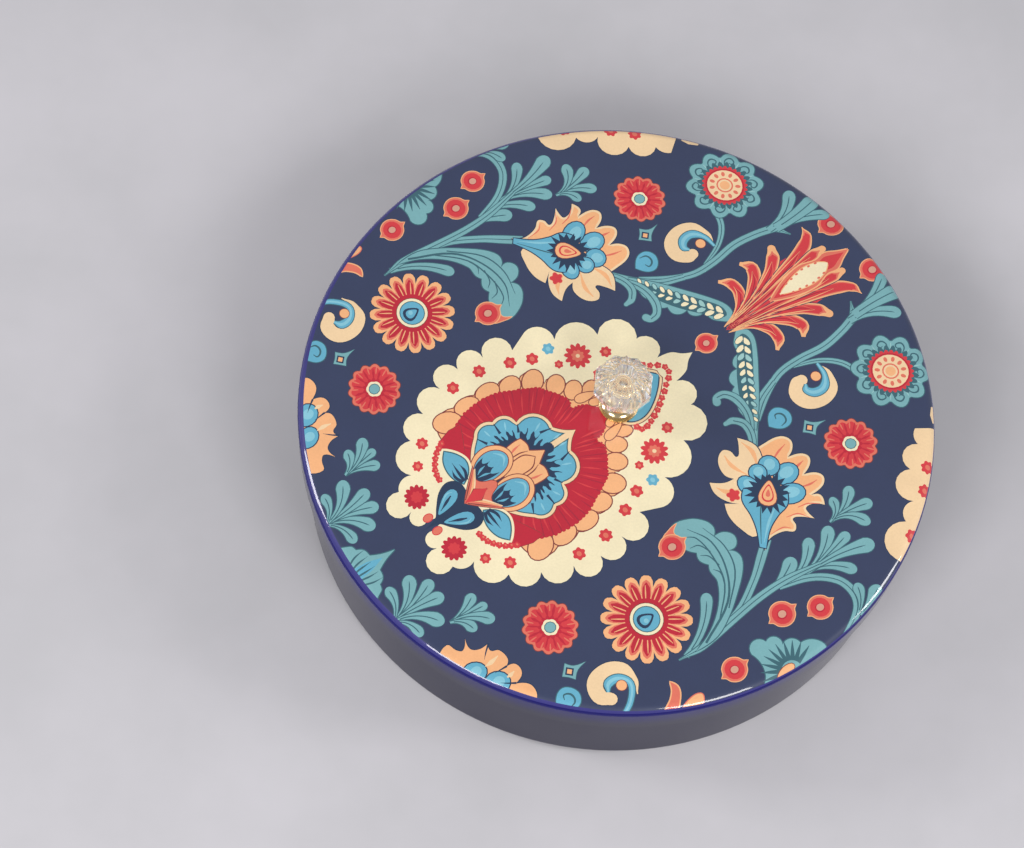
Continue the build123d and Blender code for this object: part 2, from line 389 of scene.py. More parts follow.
def draw_medallion(art):
    """The large cream drop with its round lobes, and what is painted in it."""
    edge = smooth([(AXIS, 36.3, 1), (1.6, 32.8), (4.4, 29.6), (5.6, 24, 1)], closed=False)[:-1]
    edge += scallops([
        (5.6, 24), (9.7, 28), (13.9, 17.8), (20, 24.3), (26.3, 11.2), (35.2, 7.6), (34, -3.7), (40.6, -4.4),
        (42.4, -13),
    ])
    edge += scallops([
        (39.6, -19.8), (46.7, -21), (43.4, -31), (49.7, -35.5), (45, -41.7), (49.9, -47),
    ])[:-1]
    edge += scallops([
        (45, -41.9), (49.9, -47), (42.3, -52.2), (45.4, -59), (35.6, -62.3), (38.9, -71), (31.4, -73.5),
        (29.4, -81.6), (20, -80.8), (19.9, -86), (17.2, -88.3), (14.5, -95.7), (8.2, -88.7), (4.9, -91),
        (1.8, -86),
    ])
    edge += [(0.8, -81), (AXIS, -80)]
    art.edged("cream", "dark", 0.3, edge)
    # Peach lobes around the crimson, each with a brown line.
    valleys = [
        (7, -3.4), (10.9, -1.4), (11.8, -6.8), (15.7, -8.2), (16.2, -12.6), (20.6, -12.6), (21.4, -18),
        (27.3, -18.3), (27.7, -25.6), (31.4, -28.6), (30.7, -33.4), (34.1, -38), (32.6, -42.8), (34, -47.5),
        (32.8, -52.4), (33.4, -58), (27, -63),
    ]
    ring = [(AXIS, -4.5), (4, -6)] + scallops(valleys, 6) + [(21, -63.6), (16, -61), (AXIS, -58)]
    art.edged("peach", "brown", 0.45, ring)
    for x, y, rx, ry, turn in (
        (10.4, -5, 2.2, 3.6, -20), (13.2, -10.4, 3.2, 4, -35), (18.6, -14.6, 3.4, 4.2, -40),
        (24.8, -21, 3.9, 4.9, -36), (28, -29.4, 3.7, 4.6, -16), (30.8, -38, 3.5, 5, -2),
        (30.7, -47.7, 3.4, 5, 6), (29.4, -57.6, 4.2, 5.6, 24),
    ):
        art.edged("peach", "brown", 0.45, oval(x, y, rx, ry, turn, 18))
    edge = smooth(
        [
            (AXIS, -6.5), (4, -8), (6.5, -12), (7.6, -15.5), (10, -14.4), (14, -15.5), (18, -18.4),
            (21.5, -21), (23.8, -25), (26.2, -30), (28.4, -35), (29.6, -40), (29.4, -46), (28.6, -51),
            (26.6, -56), (24, -60), (21, -62.6), (14, -60),
        ],
        closed=False, steps=3,
    )
    body = []
    for i, (p, q) in enumerate(zip(edge, edge[1:])):
        size = math.hypot(q[0] - p[0], q[1] - p[1]) or 1
        push = 0.45 * art.random.uniform(0.5, 1.6)
        top = between(p, q, 0.5)
        body += arc(p, (top[0] - (q[1] - p[1]) / size * push, top[1] + (q[0] - p[0]) / size * push), q, 3)
    art.lay("crimson", body + [(14, -60), (AXIS, -58)])
    for i, p in enumerate(edge[4:-3]):
        middle = between(p, (0, -42), 0.3)
        q = between(p, (0, -42), 0.16 + 0.3 * art.random.random())
        if i % 2:
            art.stroke("wine", [(*p, 0.55), (*between(p, q, 0.5), 0.4), (*q, 0.1)], steps=1)
        if i % 3 == 0:
            a, b = between(p, middle, 0.25), between(p, middle, 1.1)
            art.stroke(
                "red", [(a[0] + 0.5, a[1] + 0.5, 0.1), (*between(a, b, 0.5), 0.7), (*b, 0.1)], steps=1,
            )
    art.edged(
        "crimson", "brown", 0.2, [(26.2, -54), (26.6, -59), (25, -64.2), (21, -66.4), (14, -60), (22, -56)],
    )
    for x, y, w, h, t in ((8.4, -8, 4.2, 9, 12), (4.2, -5.4, 3.6, 7, 20)):
        art.edged("peach", "brown", 0.35, teardrop(x, y, w, h, t))
    draw_inner_cup(art)
    # The blue drop below the knob, and its chain of beads.
    drop = smooth([
        (AXIS, 20, 1), (3.6, 16.4), (7.4, 11.4), (9.9, 6), (9.6, 1), (6.4, -2.4), (AXIS, -3.4, 1),
    ])
    art.edged("sand", "brown", 0.35, grown(drop, 1.4))
    art.edged("blue", "dark", 0.5, drop)
    art.lay("sky", smooth([(1, 15, 1), (5.4, 10.6), (7.2, 5), (5, 1, 1), (4.6, 6), (2.4, 10)], steps=4))
    chain = [
        (0.9, 24), (3, 22.2), (4.6, 19.8), (6.4, 17.6), (8, 15.2), (9.6, 13), (11, 10.8), (12.2, 8.4),
        (13.2, 6), (14, 3.6), (13.8, 1.2), (12, 0.2),
    ]
    for i, (x, y) in enumerate(chain):
        art.lay("red", flower(x, y, 1.35 + 0.15 * (i % 2), 5, 0.25, i * 25, 4))
        art.lay("coral", oval(x - 0.2, y + 0.2, 0.5, 0.4, steps=6))
    for x, y, r, ink in (
        (18.8, 9.4, 2.4, "red"), (24.8, -8.5, 1.8, "red"), (32.3, -8, 2.5, "blue"),
        (32.4, -15.6, 2.6, "red"), (35.9, -23.6, 2.6, "red"), (39.7, -35.5, 2.7, "red"),
        (39.8, -47.8, 2.6, "red"), (28, -70.4, 2.5, "red"), (21.5, -76.8, 2.2, "red"),
    ):
        art.tiny_flower(x, y, r, ink)
    art.lay("red", flower(23.5, -0.4, 5.4, 12, 0.28, 8, 4))
    art.lay("coral", flower(23.5, -0.4, 2.6, 8, 0.25, 0, 4))
    art.lay("sand", oval(23.5, -0.4, 0.8))
    art.lay("crimson", flower(11.8, -83.8, 4.9, 13, 0.22, 5, 4))
    art.lay("red", flower(11.8, -83.8, 2.4, 8, 0.25, 0, 4))
    art.edged("coral", "red", 0.35, oval(2.7, -84.8, 1.3, 1.8))


def draw_inner_cup(art):
    """The blue scalloped cup with its tulip, two drops, side leaves and bulb."""
    cup = smooth([(AXIS, -19.3, 1), (2, -22.8), (5.4, -25.8, 1)], closed=False)[:-1]
    cup += scallops(
        [(5.4, -25.8), (12.6, -27), (14.8, -36), (19.4, -38), (20, -43.4), (21.8, -47.4), (19, -52.6)], 9,
    )
    cup += smooth([(19, -52.6), (15.4, -56.4), (11, -59.6), (7, -61), (AXIS, -60)], closed=False)[1:]
    art.edged("sand", "brown", 0.3, cup)
    art.lay("pine", grown(cup, -1.15))
    art.lay("blue", grown(cup, -1.6))
    spikes = [(AXIS, -30)]
    reach = [
        (1.6, -29), (4, -29.6), (6.6, -28.4), (9, -30.8), (11.6, -31.8), (12.2, -35.4), (14.6, -38),
        (15.6, -40.6), (15, -43.6), (17, -46), (15.8, -49), (15, -52), (12, -54), (10, -57.6),
    ]
    for i, tip in enumerate(reach):
        tip = between(tip, (3, -46), 0.12)
        spikes += [tip, between(tip, (3, -46), 0.2 + 0.1 * (i % 2))]
    art.lay("dark", smooth(spikes + [(AXIS, -60)], steps=3))
    for valley, inner in (
        ((5.4, -26.4), (6.4, -31)), ((14, -36), (11, -37.6)), ((19.2, -43.4), (14.6, -43.6)),
        ((17.6, -52), (14, -50)),
    ):
        art.stroke("dark", [(*valley, 0.3), (*between(valley, inner, 0.5), 0.7), (*inner, 1.1)], steps=2)
    for p, q, w in (
        ((1.6, -25), (1.4, -28.4), 0.9), ((9.6, -28.6), (8, -32), 0.8), ((17.4, -39.6), (14.6, -41), 0.8),
        ((18.8, -48), (15.8, -47.4), 0.8),
    ):
        art.stroke("sky", [(*p, 0.3), (*between(p, q, 0.5), w), (*q, 0.2)], steps=2)
    tulip = smooth([
        (AXIS, -33.6, 1), (1.4, -36.4), (2.9, -38.6, 1), (5.4, -37.8), (8.6, -38.6, 1), (8.8, -42),
        (8, -46), (4, -50), (AXIS, -52),
    ])
    art.edged("peach", "brown", 0.4, tulip)
    for line in (
        [(AXIS, -38, 0.3), (2.6, -41.4, 0.5), (2.8, -47, 0.4)],
        [(3, -39, 0.2), (4, -42, 0.5), (4.2, -46.4, 0.4)],
    ):
        art.stroke("brown", line)
    art.stroke("coral", [(6.8, -40, 0.2), (6.4, -43, 0.9), (5.4, -45.6, 0.2)])
    shell = smooth([
        (0.2, -54), (1.4, -48), (5.6, -44.8), (10.4, -46.4), (13.2, -51.4), (12.6, -57), (9, -61.6),
        (3, -65, 1),
    ])
    art.edged("peach", "brown", 0.35, shell)
    drop = smooth([
        (1.4, -54), (2.8, -48.8), (6.2, -46.6), (10, -48.8), (11.4, -53.6), (9.6, -58.8), (4.4, -63.4, 1),
        (1.8, -58.6),
    ])
    art.edged("blue", "brown", 0.35, drop)
    flame = [
        (4.4, -63, 1), (2.4, -58), (2.2, -52.6, 1), (4.2, -55.4), (5, -49.6, 1), (6.4, -54.8),
        (8.2, -51, 1),
    ]
    art.lay("dark", smooth(flame + [(8.4, -55.8), (10.5, -54.6, 1), (9, -59.4)], steps=4))
    art.stroke("sky", [(3.4, -50.2, 0.2), (6.4, -47.9, 1), (9.8, -50.4, 0.2)])
    art.stroke("blue", [(5, -60.4, 0.2), (4.6, -57.6, 0.8), (3.8, -55.4, 0.2)])
    art.stroke("blue", [(6, -60, 0.2), (7, -58, 0.9), (7.4, -55.8, 0.2)])
    leaf = smooth([
        (5.6, -66.4, 1), (8.6, -62), (13, -60.2), (17.4, -61.8), (21.2, -65.3, 1), (17.6, -68.2),
        (13, -69.2), (8.6, -68.4),
    ])
    art.edged("pine", "cream", 0.9, leaf)
    art.lay("blue", grown(leaf, -0.5))
    for dy, reach_x in ((2.2, 13.4), (-0.2, 15.4), (-2.2, 13)):
        art.stroke(
            "dark", [(6.8, -65.4 + dy * 0.4, 1.3), (10, -65.3 + dy, 1.1), (reach_x, -65.2 + dy * 0.8, 0.1)],
        )
    bulb = smooth([
        (AXIS, -68.4, 1), (3.6, -67), (8, -67.6), (10.2, -71.4), (8.6, -76), (4.4, -80), (0.9, -83),
        (AXIS, -90, 1),
    ])
    art.lay("dark", bulb)
    calyx = smooth([(AXIS, -70.4, 1), (4, -66.2), (10, -59.4, 1), (4.6, -61.6), (1.4, -57, 1), (AXIS, -56)])
    art.edged("coral", "brown", 0.3, calyx)
    art.edged("blue", "dark", 0.4, teardrop(3.7, -75.6, 5.8, 11.4, 157))
    art.stroke("dark", [(5, -73, 0.5), (3.9, -75.6, 1.1), (2.2, -79.4, 0.2)])
    art.stroke("sky", [(5.9, -71.8, 0.2), (6.4, -74, 0.6), (4.4, -77.4, 0.2)])
    for ink, width, lift in (("brown", 1.2, 0), ("coral", 0.8, 0.5), ("peach", 0.7, 1.8), ("sand", 0.6, 3)):
        art.stroke(
            ink,
            [(0.4, -69.4 + lift, 0.4), (3.4, -65.6 + lift * 0.8, width), (8.6, -60.4 + lift * 0.3, 0.3)],
        )
    art.edged("red", "brown", 0.35, [(AXIS, -60), (2.2, -64.4), (AXIS, -70)])
    for x, y in (
        (12.6, -73), (14.6, -72.8), (16.6, -72.2), (18.5, -71), (20.3, -69.6), (21.8, -68), (23, -66.2),
        (24, -64.4),
    ):
        art.lay("red", flower(x, y, 1.4, 5, 0.25, x * 30, 4))
        art.lay("coral", oval(x - 0.2, y + 0.3, 0.5, 0.4, steps=6))


def draw_palmette(art):
    """The red fan above the medallion, and the bud below it."""
    petals = [
        [(0.2, 53.5, 0.4), (3.4, 61.5, 2.8), (8.6, 66.6, 4.8), (13.8, 67, 4.8), (17.6, 63.4, 1.4)],
        [(0.2, 54, 0.4), (4, 66, 3), (9.4, 74.4, 5), (14.8, 77.8, 5.4), (19, 75.2, 1.6)],
        [(0.2, 55, 0.4), (4, 70, 2.8), (8.8, 81.4, 4.6), (13.6, 87.4, 5.2), (17, 89.6, 3.2)],
        [
            (0.2, 56, 0.4), (3.6, 74, 3.4), (7.2, 90, 5), (10.4, 100, 5.4), (13.4, 104.2, 4),
            (17.6, 105.4, 0.3),
        ],
        [(0.1, 57, 0.4), (2.4, 76, 3), (4.4, 92, 4), (5.6, 101, 4.4), (5.6, 105.4, 2.8)],
    ]
    body = smooth(
        [(AXIS, 52.6, 1), (3, 60), (7, 66), (9, 74), (11, 82), (10.6, 90), (10, 98), (6, 101), (AXIS, 98)],
        steps=4,
    )
    art.lay("red", body)
    for petal in petals:
        ends = {"round_end": petal[-1][2] > 2}
        art.stroke("dark", [(x, y, w + 0.6) for x, y, w in petal], **ends)
        art.stroke("peach", petal, **ends)
        art.stroke(
            "coral",
            [(x, y, w * 0.78) for x, y, w in petal[:-1]] + [(*between(petal[-2], petal[-1], 0.7), 0.4)],
        )
        art.stroke(
            "red",
            [(x, y, w * 0.62) for x, y, w in petal[:-1]] + [(*between(petal[-2], petal[-1], 0.35), 0.3)],
        )
    for petal in petals:
        for shift, ink, width in ((0.9, "peach", 0.36), (-0.2, "wine", 0.4), (-1.1, "coral", 0.3)):
            line = [(x + shift, y - shift * 0.7, width) for x, y, _ in petal[:3]]
            art.stroke(ink, line + [(*between(petal[2], petal[3], 0.8), 0.1)])
    flame = smooth([
        (AXIS, 113.4, 1), (1.4, 109.4), (3.8, 104.6), (3.2, 100), (5, 93), (3.6, 84), (AXIS, 74, 1),
    ])
    art.edged("coral", "peach", 0.5, flame)
    art.lay(
        "red",
        smooth([(AXIS, 111, 1), (1.2, 107), (2.4, 103.6), (2, 100), (3.8, 93), (2.6, 84), (AXIS, 76, 1)]),
    )
    heart = smooth([(AXIS, 103, 1), (2.2, 99.6), (3.4, 94), (2.6, 87.4), (AXIS, 79, 1)])
    art.edged("cream", "peach", 0.4, heart)
    for y in (84, 87, 90, 93, 96, 99):
        art.lay("coral", oval(3.2 - abs(y - 93) * 0.15, y, 0.45, 0.7, steps=7))
    art.bud(AXIS, 43, 3.9, both=False)


def draw_daisy(art, x, y):
    """The teal flower with its dotted heart."""
    art.edged("teal", "pine", 0.4, flower(x, y, 15.2, 10, 0.2, 14, 9))
    for i in range(10):
        a = math.radians(36 * i + 14)
        curl = [
            (a - 0.19, 9.4, 0.3), (a - 0.15, 11.6, 0.55), (a, 12.8, 0.7), (a + 0.15, 11.6, 0.55),
            (a + 0.1, 10.3, 0.5), (a - 0.01, 10.6, 0.3),
        ]
        art.stroke("pine", [(x + r * math.cos(t), y + r * math.sin(t), w) for t, r, w in curl], steps=3)
        a += math.radians(18)
        art.stroke(
            "mint", [(x + r * math.cos(a), y + r * math.sin(a), w) for r, w in ((9, 0.5), (12, 0.2))],
            steps=2,
        )
    art.lay("pine", flower(x, y, 11, 24, 0.18, 0, 4))
    art.lay("red", flower(x, y, 9, 26, 0.12, 0, 4))
    art.lay("crimson", oval(x, y, 7.6, steps=24))
    art.lay("sand", oval(x, y, 6.9, steps=24))
    for i in range(11):
        a = math.tau * i / 11
        spot = oval(x + 5.1 * math.cos(a), y + 5.1 * math.sin(a), 1.1, 0.75, math.degrees(a), 8)
        art.lay("coral", spot)
    art.lay("coral", oval(x, y, 3.3))
    art.lay("sand", oval(x, y, 2.7))
    art.lay("peach", oval(x, y, 2, steps=12))


def draw_rosette(art, x, y):
    """The red flower of sixteen long petals with a blue eye."""
    for i in range(16):
        a = math.radians(22.5 * i + 8)
        c, s = math.cos(a), math.sin(a)
        line = [(5, 1.8), (9, 3.8), (12.4, 5), (14.6, 4.9), (16, 3.8), (16.8, 2.2)]
        art.stroke("dark", [(x + r * c, y + r * s, w + 0.7) for r, w in line], steps=3)
    for i in range(16):
        a = math.radians(22.5 * i + 8)
        c, s = math.cos(a), math.sin(a)
        line = [(5, 1.6), (9, 3.6), (12.4, 4.9), (14.6, 4.8), (16, 3.6), (16.7, 1.9)]
        art.stroke("peach", [(x + r * c, y + r * s, w) for r, w in line], steps=3)
        line = [(5, 1.6), (9, 3.3), (12, 3.7), (14, 2.7), (15, 0.4)]
        art.stroke("coral", [(x + r * c, y + r * s, w) for r, w in line], steps=2)
        line = [(5, 1.7), (9, 3), (12, 2.7), (14, 0.4)]
        art.stroke("crimson", [(x + r * c, y + r * s, w) for r, w in line], steps=2)
        line = [(7, 0.3), (10, 0.5), (13, 0.2)]
        art.stroke(
            "peach", [(x + r * math.cos(a + 0.03), y + r * math.sin(a + 0.03), w) for r, w in line],
            steps=2,
        )
    art.lay("crimson", oval(x, y, 8, steps=24))
    art.edged("cream", "brown", 0.3, oval(x, y, 6.1, steps=24))
    art.edged("blue", "pine", 0.35, oval(x, y, 4.7, steps=20))
    art.lay("dark", teardrop(x, y - 0.3, 6.6, 6.8))
    art.lay("blue", teardrop(x, y - 0.2, 4.2, 4.8))
    art.lay("sky", oval(x + 0.4, y - 0.5, 0.9))


def draw_zinnia(art, x, y):
    """The round red flower with a pale ring and a green eye."""
    art.edged("coral", "brown", 0.3, flower(x, y, 10.2, 14, 0.13, 10, 7))
    art.lay("red", flower(x, y, 9.1, 14, 0.13, 10, 6))
    for i in range(28):
        a = math.tau * (i + art.random.uniform(0.2, 0.6)) / 28 + math.radians(10)
        ends = (4, 6.4, art.random.uniform(7.4, 9)) if i % 2 else (6.2, 7.8, 9.6)
        ink, width = ("crimson", art.random.uniform(0.7, 1.3)) if i % 2 else ("coral", 0.6)
        line = [(x + r * math.cos(a), y + r * math.sin(a), w) for r, w in zip(ends, (0.3, width, 0.2))]
        art.stroke(ink, line, steps=2)
    art.lay("crimson", flower(x, y, 4.6, 14, 0.2, 4, 4))
    art.edged("cream", "crimson", 0.4, flower(x, y, 3.2, 6, 0.1, 0, 4))
    art.edged("teal", "pine", 0.3, oval(x, y, 1.9, 2, steps=10))


def draw_flame_flower(art):
    """The open flower in profile: peach crown, cream sepals, blue cup and a red drop in its heart."""
    crown = smooth(
        [
            (46, 28), (44.8, 36), (46, 42), (49.4, 44.2), (52.6, 42.4), (54.2, 39, 1), (55.8, 43.8),
            (58.6, 45.6), (61.4, 43.6), (63, 39.4, 1), (65, 43.6), (68, 45), (70.6, 42.4), (71, 36.4, 1),
            (73, 39.4), (77, 38.2, 1), (74.2, 35), (73.8, 31.8), (75.4, 31.2), (79, 31.6, 1), (75.6, 28),
            (74.4, 25), (77, 24.4), (78.6, 22.4), (76.6, 19.6), (75.6, 16), (75.8, 12.4), (78.2, 8.8, 1),
            (72, 12), (62, 20),
        ],
        steps=4,
    )
    art.edged("sand", "dark", 0.4, crown)
    art.lay("peach", grown(crown, -0.9))
    for line in (
        [(49.5, 42, 0.4), (50.4, 38, 1.4), (52, 34, 0.6)],
        [(58.6, 43.4, 0.4), (59, 40.6, 1.6), (59.4, 38, 0.5)],
        [(67.6, 42.8, 0.4), (67.4, 39.4, 1.4), (66, 35, 0.5)],
        [(75.6, 37.6, 0.3), (73, 34, 0.9), (72, 30, 0.5)],
        [(77.6, 31, 0.3), (74, 28.4, 0.9), (72.6, 24, 0.4)],
        [(77, 22.8, 0.3), (75, 20.4, 0.8), (74.6, 15, 0.3)],
    ):
        art.stroke("coral", [(x, y - 0.6, w * 0.6) for x, y, w in line])
    sepal = smooth(
        [
            (57, 27), (50, 30.4), (43.6, 32), (37.2, 28.3, 1), (41, 26), (43.2, 23.4), (40, 22.8),
            (38, 20.4), (40.6, 16.4), (46, 15), (49.4, 17, 1), (48.6, 13), (45.4, 8.6, 1), (50, 7.5),
            (55, 9.3), (58.4, 12.4, 1), (55.2, 8, 1), (60, 6.2), (66, 6.6), (72, 9.6), (66, 17),
        ],
        steps=4,
    )
    art.edged("sand", "dark", 0.4, sepal)
    art.stroke("peach", [(39.4, 28.4, 0.3), (45, 29.4, 1.8), (51, 27, 0.4)])
    art.stroke("peach", [(40, 19.8, 0.4), (45, 19.6, 1.6), (51, 22, 0.4)])
    art.stroke("peach", [(48.4, 9.4, 0.3), (52, 11.6, 1.8), (54, 16, 0.4)])
    art.edged("red", "coral", 0.2, flower(54.4, 12.8, 2.6, 5, 0.45, 90, 5))
    for x, y, rx, ry, turn in (
        (59, 34.2, 3.9, 5, 0), (66.2, 30.6, 3.9, 5.6, -22), (52.8, 31, 3.9, 3.9, 40),
        (52.6, 25.8, 3.3, 3.3, 0), (54.8, 19.7, 4.5, 3.3, 12),
    ):
        art.edged("blue", "dark", 0.45, oval(x, y, rx, ry, turn))
        art.lay("sky", oval(x - 0.3, y + 0.5, rx * 0.55, ry * 0.6, turn, 12))
    trumpet = smooth([
        (65, 30, 1), (69, 26.6), (70.2, 21.4), (72.8, 15.4), (77.8, 9.6, 1), (76, 8, 1), (70, 11.4),
        (64.4, 13.2), (58, 14.2), (54.6, 17.4, 1),
    ])
    art.edged("blue", "dark", 0.45, trumpet)
    art.stroke("pine", [(60.6, 21, 0.3), (67, 15.6, 0.5), (75.4, 9.2, 0.2)])
    art.stroke("sky", [(67, 22.6, 0.3), (70.4, 16.8, 1), (75.6, 10.4, 0.2)])
    spikes = []
    for i in range(34):
        a = math.tau * i / 34
        r = art.random.uniform(7.4, 10) if i % 2 else art.random.uniform(5.4, 6.4)
        spikes.append((61 + r * math.cos(a), 24 + r * math.sin(a)))
    art.lay("dark", spikes)
    for width, length, ink in (
        (8.6, 10.6, "brown"), (8, 10, "peach"), (5.4, 7.2, "red"), (4.2, 5.8, "peach"), (2, 3, "coral"),
    ):
        art.lay(ink, teardrop(61.2, 23.8, width, length, 46))


def draw_seeded_leaf(art):
    """The long leaf with two rows of pale seeds, and the two curls that hang from its stalk."""
    art.stem([(52, 22, 2.6), (44, 30.4, 3), (36, 37.4, 3), (30, 45, 2.6), (26.6, 54, 2.2)])
    leaf = smooth(
        [
            (2, 56.4), (3.6, 59.2), (8, 59.6), (14, 56.4), (22, 50.6), (31, 43.6), (39, 36, 1), (33, 36),
            (29, 35.8), (26.4, 37.2, 1), (24, 37), (21.4, 38.4), (20.2, 40.6, 1), (17, 40.6), (15, 43),
            (15, 46, 1), (12.6, 45.8), (10.6, 48), (10.4, 51, 1), (6.6, 51.2), (4, 53.4),
        ],
        steps=4,
    )
    art.edged("teal", "pine", 0.35, leaf)
    inside = smooth([
        (5, 56), (8, 57), (14, 53.4), (22, 47.4), (30, 41), (37, 35.6, 1), (29, 38), (19, 43.6), (11, 50),
    ])
    art.lay("pine", grown(inside, 0.7))
    for i in range(11):
        x, y = between((7, 54.8), (34.5, 37.6), (i / 10) ** 0.95)
        size = 2.5 - 0.11 * i
        for turn, dx, dy in ((8, 0.7, 1.1), (-78, -1.1, -0.7)):
            art.edged(
                "mint" if i % 3 == 2 else "cream", "pine", 0.3,
                oval(x + dx, y + dy, size * 0.84, size * 0.42, turn, 9),
            )
    art.stroke("pine", [(5.6, 56.2, 0.3), (20, 46.6, 0.7), (36, 36.2, 0.9)])
    for curl in (
        [(40, 33.6, 1.2), (32, 37.6, 3), (25, 38, 3.4), (20.6, 35.6, 3), (19.8, 32.2, 2.6), (21.4, 31, 3)],
        [(47, 28, 1.2), (40, 33, 2.8), (34.4, 34, 3), (30.8, 31.4, 2.6), (30.2, 28.2, 1.6)],
    ):
        art.stroke("pine", [(x, y, w + 0.6) for x, y, w in curl], round_end=True)
        art.stroke("teal", curl, round_end=True)
        art.stroke("pine", [(x, y, 0.4) for x, y, _ in curl[:-1]])


def draw_left_stem(art):
    """The tall stalk beside the palmette, with its spray at the top and its branch to the daisy."""
    art.stem([(26.4, 64, 1), (30, 73.6, 1.8), (36, 80.4, 2.2), (44, 83.4, 2.4)])
    art.stem([(24.6, 93, 1.6), (22, 97, 1.8), (17.6, 99.8, 0.3)])
    art.stem([
        (36, 39, 1.8), (29.6, 48.6, 2.4), (25.6, 58, 2.6), (25.3, 68, 2.8), (26.6, 79, 3), (25.4, 89, 3),
        (23.2, 98, 3.2), (22.6, 108, 2.6),
    ])
    art.lobe((24, 94), (33, 112.4), 5, 0.24, foot=0.45)
    art.lobe((23, 97), (15.6, 118), 4.4, -0.16, foot=0.6)
    art.lobe((23, 97), (24.6, 119), 6, 0.06, foot=0.6)


def draw_right_spray(art):
    """The tall spray at the right, the arched leaf with its bud, and the stalk of the flame flower."""
    art.lobe((93.4, -40), (78.6, -19.2), 4.4, -0.2, foot=0.45)
    art.stem([
        (93, -42.4, 0.3), (93.8, -30, 2.6), (91, -14, 2.6), (85, -2, 2.8), (79, 6.6, 3.4), (75, 12, 3.4),
    ])
    art.lobe((92, -4), (86.2, 15.4), 5.4, -0.16)
    art.lobe((92.6, 4), (83.6, 25), 4.6, -0.3)
    art.lobe((93.4, 12), (84.2, 34), 5, -0.26)
    art.lobe((93.6, 12), (104, 31.4), 4.4, 0.3)
    art.lobe((94, 16), (90.6, 38.4), 4.2, -0.04)
    art.lobe((94.2, 15), (99.4, 43.6), 5.8, 0.12)
    art.stem([
        (92.4, 4, 1.8), (96, 15.6, 2.6), (102.6, 23.4, 3), (110, 25, 3.2), (115.6, 22, 3), (121, 13, 2.6),
    ])
    art.lobe((117, 21), (107.4, 28), 4.2, -0.25)
    art.lobe((118, 22), (113, 34.6), 5.6, -0.05)
    art.stem([
        (93, -43, 0.3), (94, -33, 2.4), (92.4, -18, 2.8), (91.2, -4, 2.8), (91.6, 8, 2.6), (94, 22, 1.6),
    ])
    arch = smooth(
        [
            (51, -13.6), (52.4, -6.6), (56.4, -2.2), (60.2, -1.2), (63, -3.2, 1), (63.8, 0.8), (67.2, 3.1),
            (70.6, 1), (70.3, -2.6, 1), (72.4, -0.4), (75.6, -0.2), (80, -3.4), (85, -9.6), (90, -17),
            (94, -26), (94, -36, 1), (91, -27), (85, -18.4), (77.6, -13), (73, -12.8), (70.6, -11.6, 1),
            (67.4, -13.4), (64.4, -12.4, 1), (61, -15), (56, -15.6),
        ],
        steps=4,
    )
    art.edged("teal", "pine", 0.4, arch)
    for line in (
        [(93.6, -31, 0.9), (86, -15, 0.9), (76, -7.6, 0.7), (64, -5.4, 0.6), (55, -9.6, 0.2)],
        [(90, -22, 0.5), (80, -11.6, 0.6), (70, -8.6, 0.6), (60, -9, 0.5), (56.6, -13, 0.2)],
        [(88, -16, 0.5), (78, -5.2, 0.6), (68, -2.4, 0.5), (58, -4.6, 0.2)],
        [(73, -8.6, 0.5), (68, -9.6, 0.5), (66, -12, 0.2)],
        [(67, -8, 0.5), (62.6, -10, 0.5), (61.6, -13.4, 0.2)],
        [(80, -11.6, 0.5), (75.6, -10, 0.5), (73, -11.4, 0.2)],
    ):
        art.stroke("pine", line)
    art.edged(
        "coral", "peach", 0.3,
        smooth([(51, -11.4, 1), (53.4, -14.6), (58, -14), (57, -18), (53.4, -19.4), (51.6, -15.4)]),
    )
    art.bud(57.4, -18.4, 4.6)


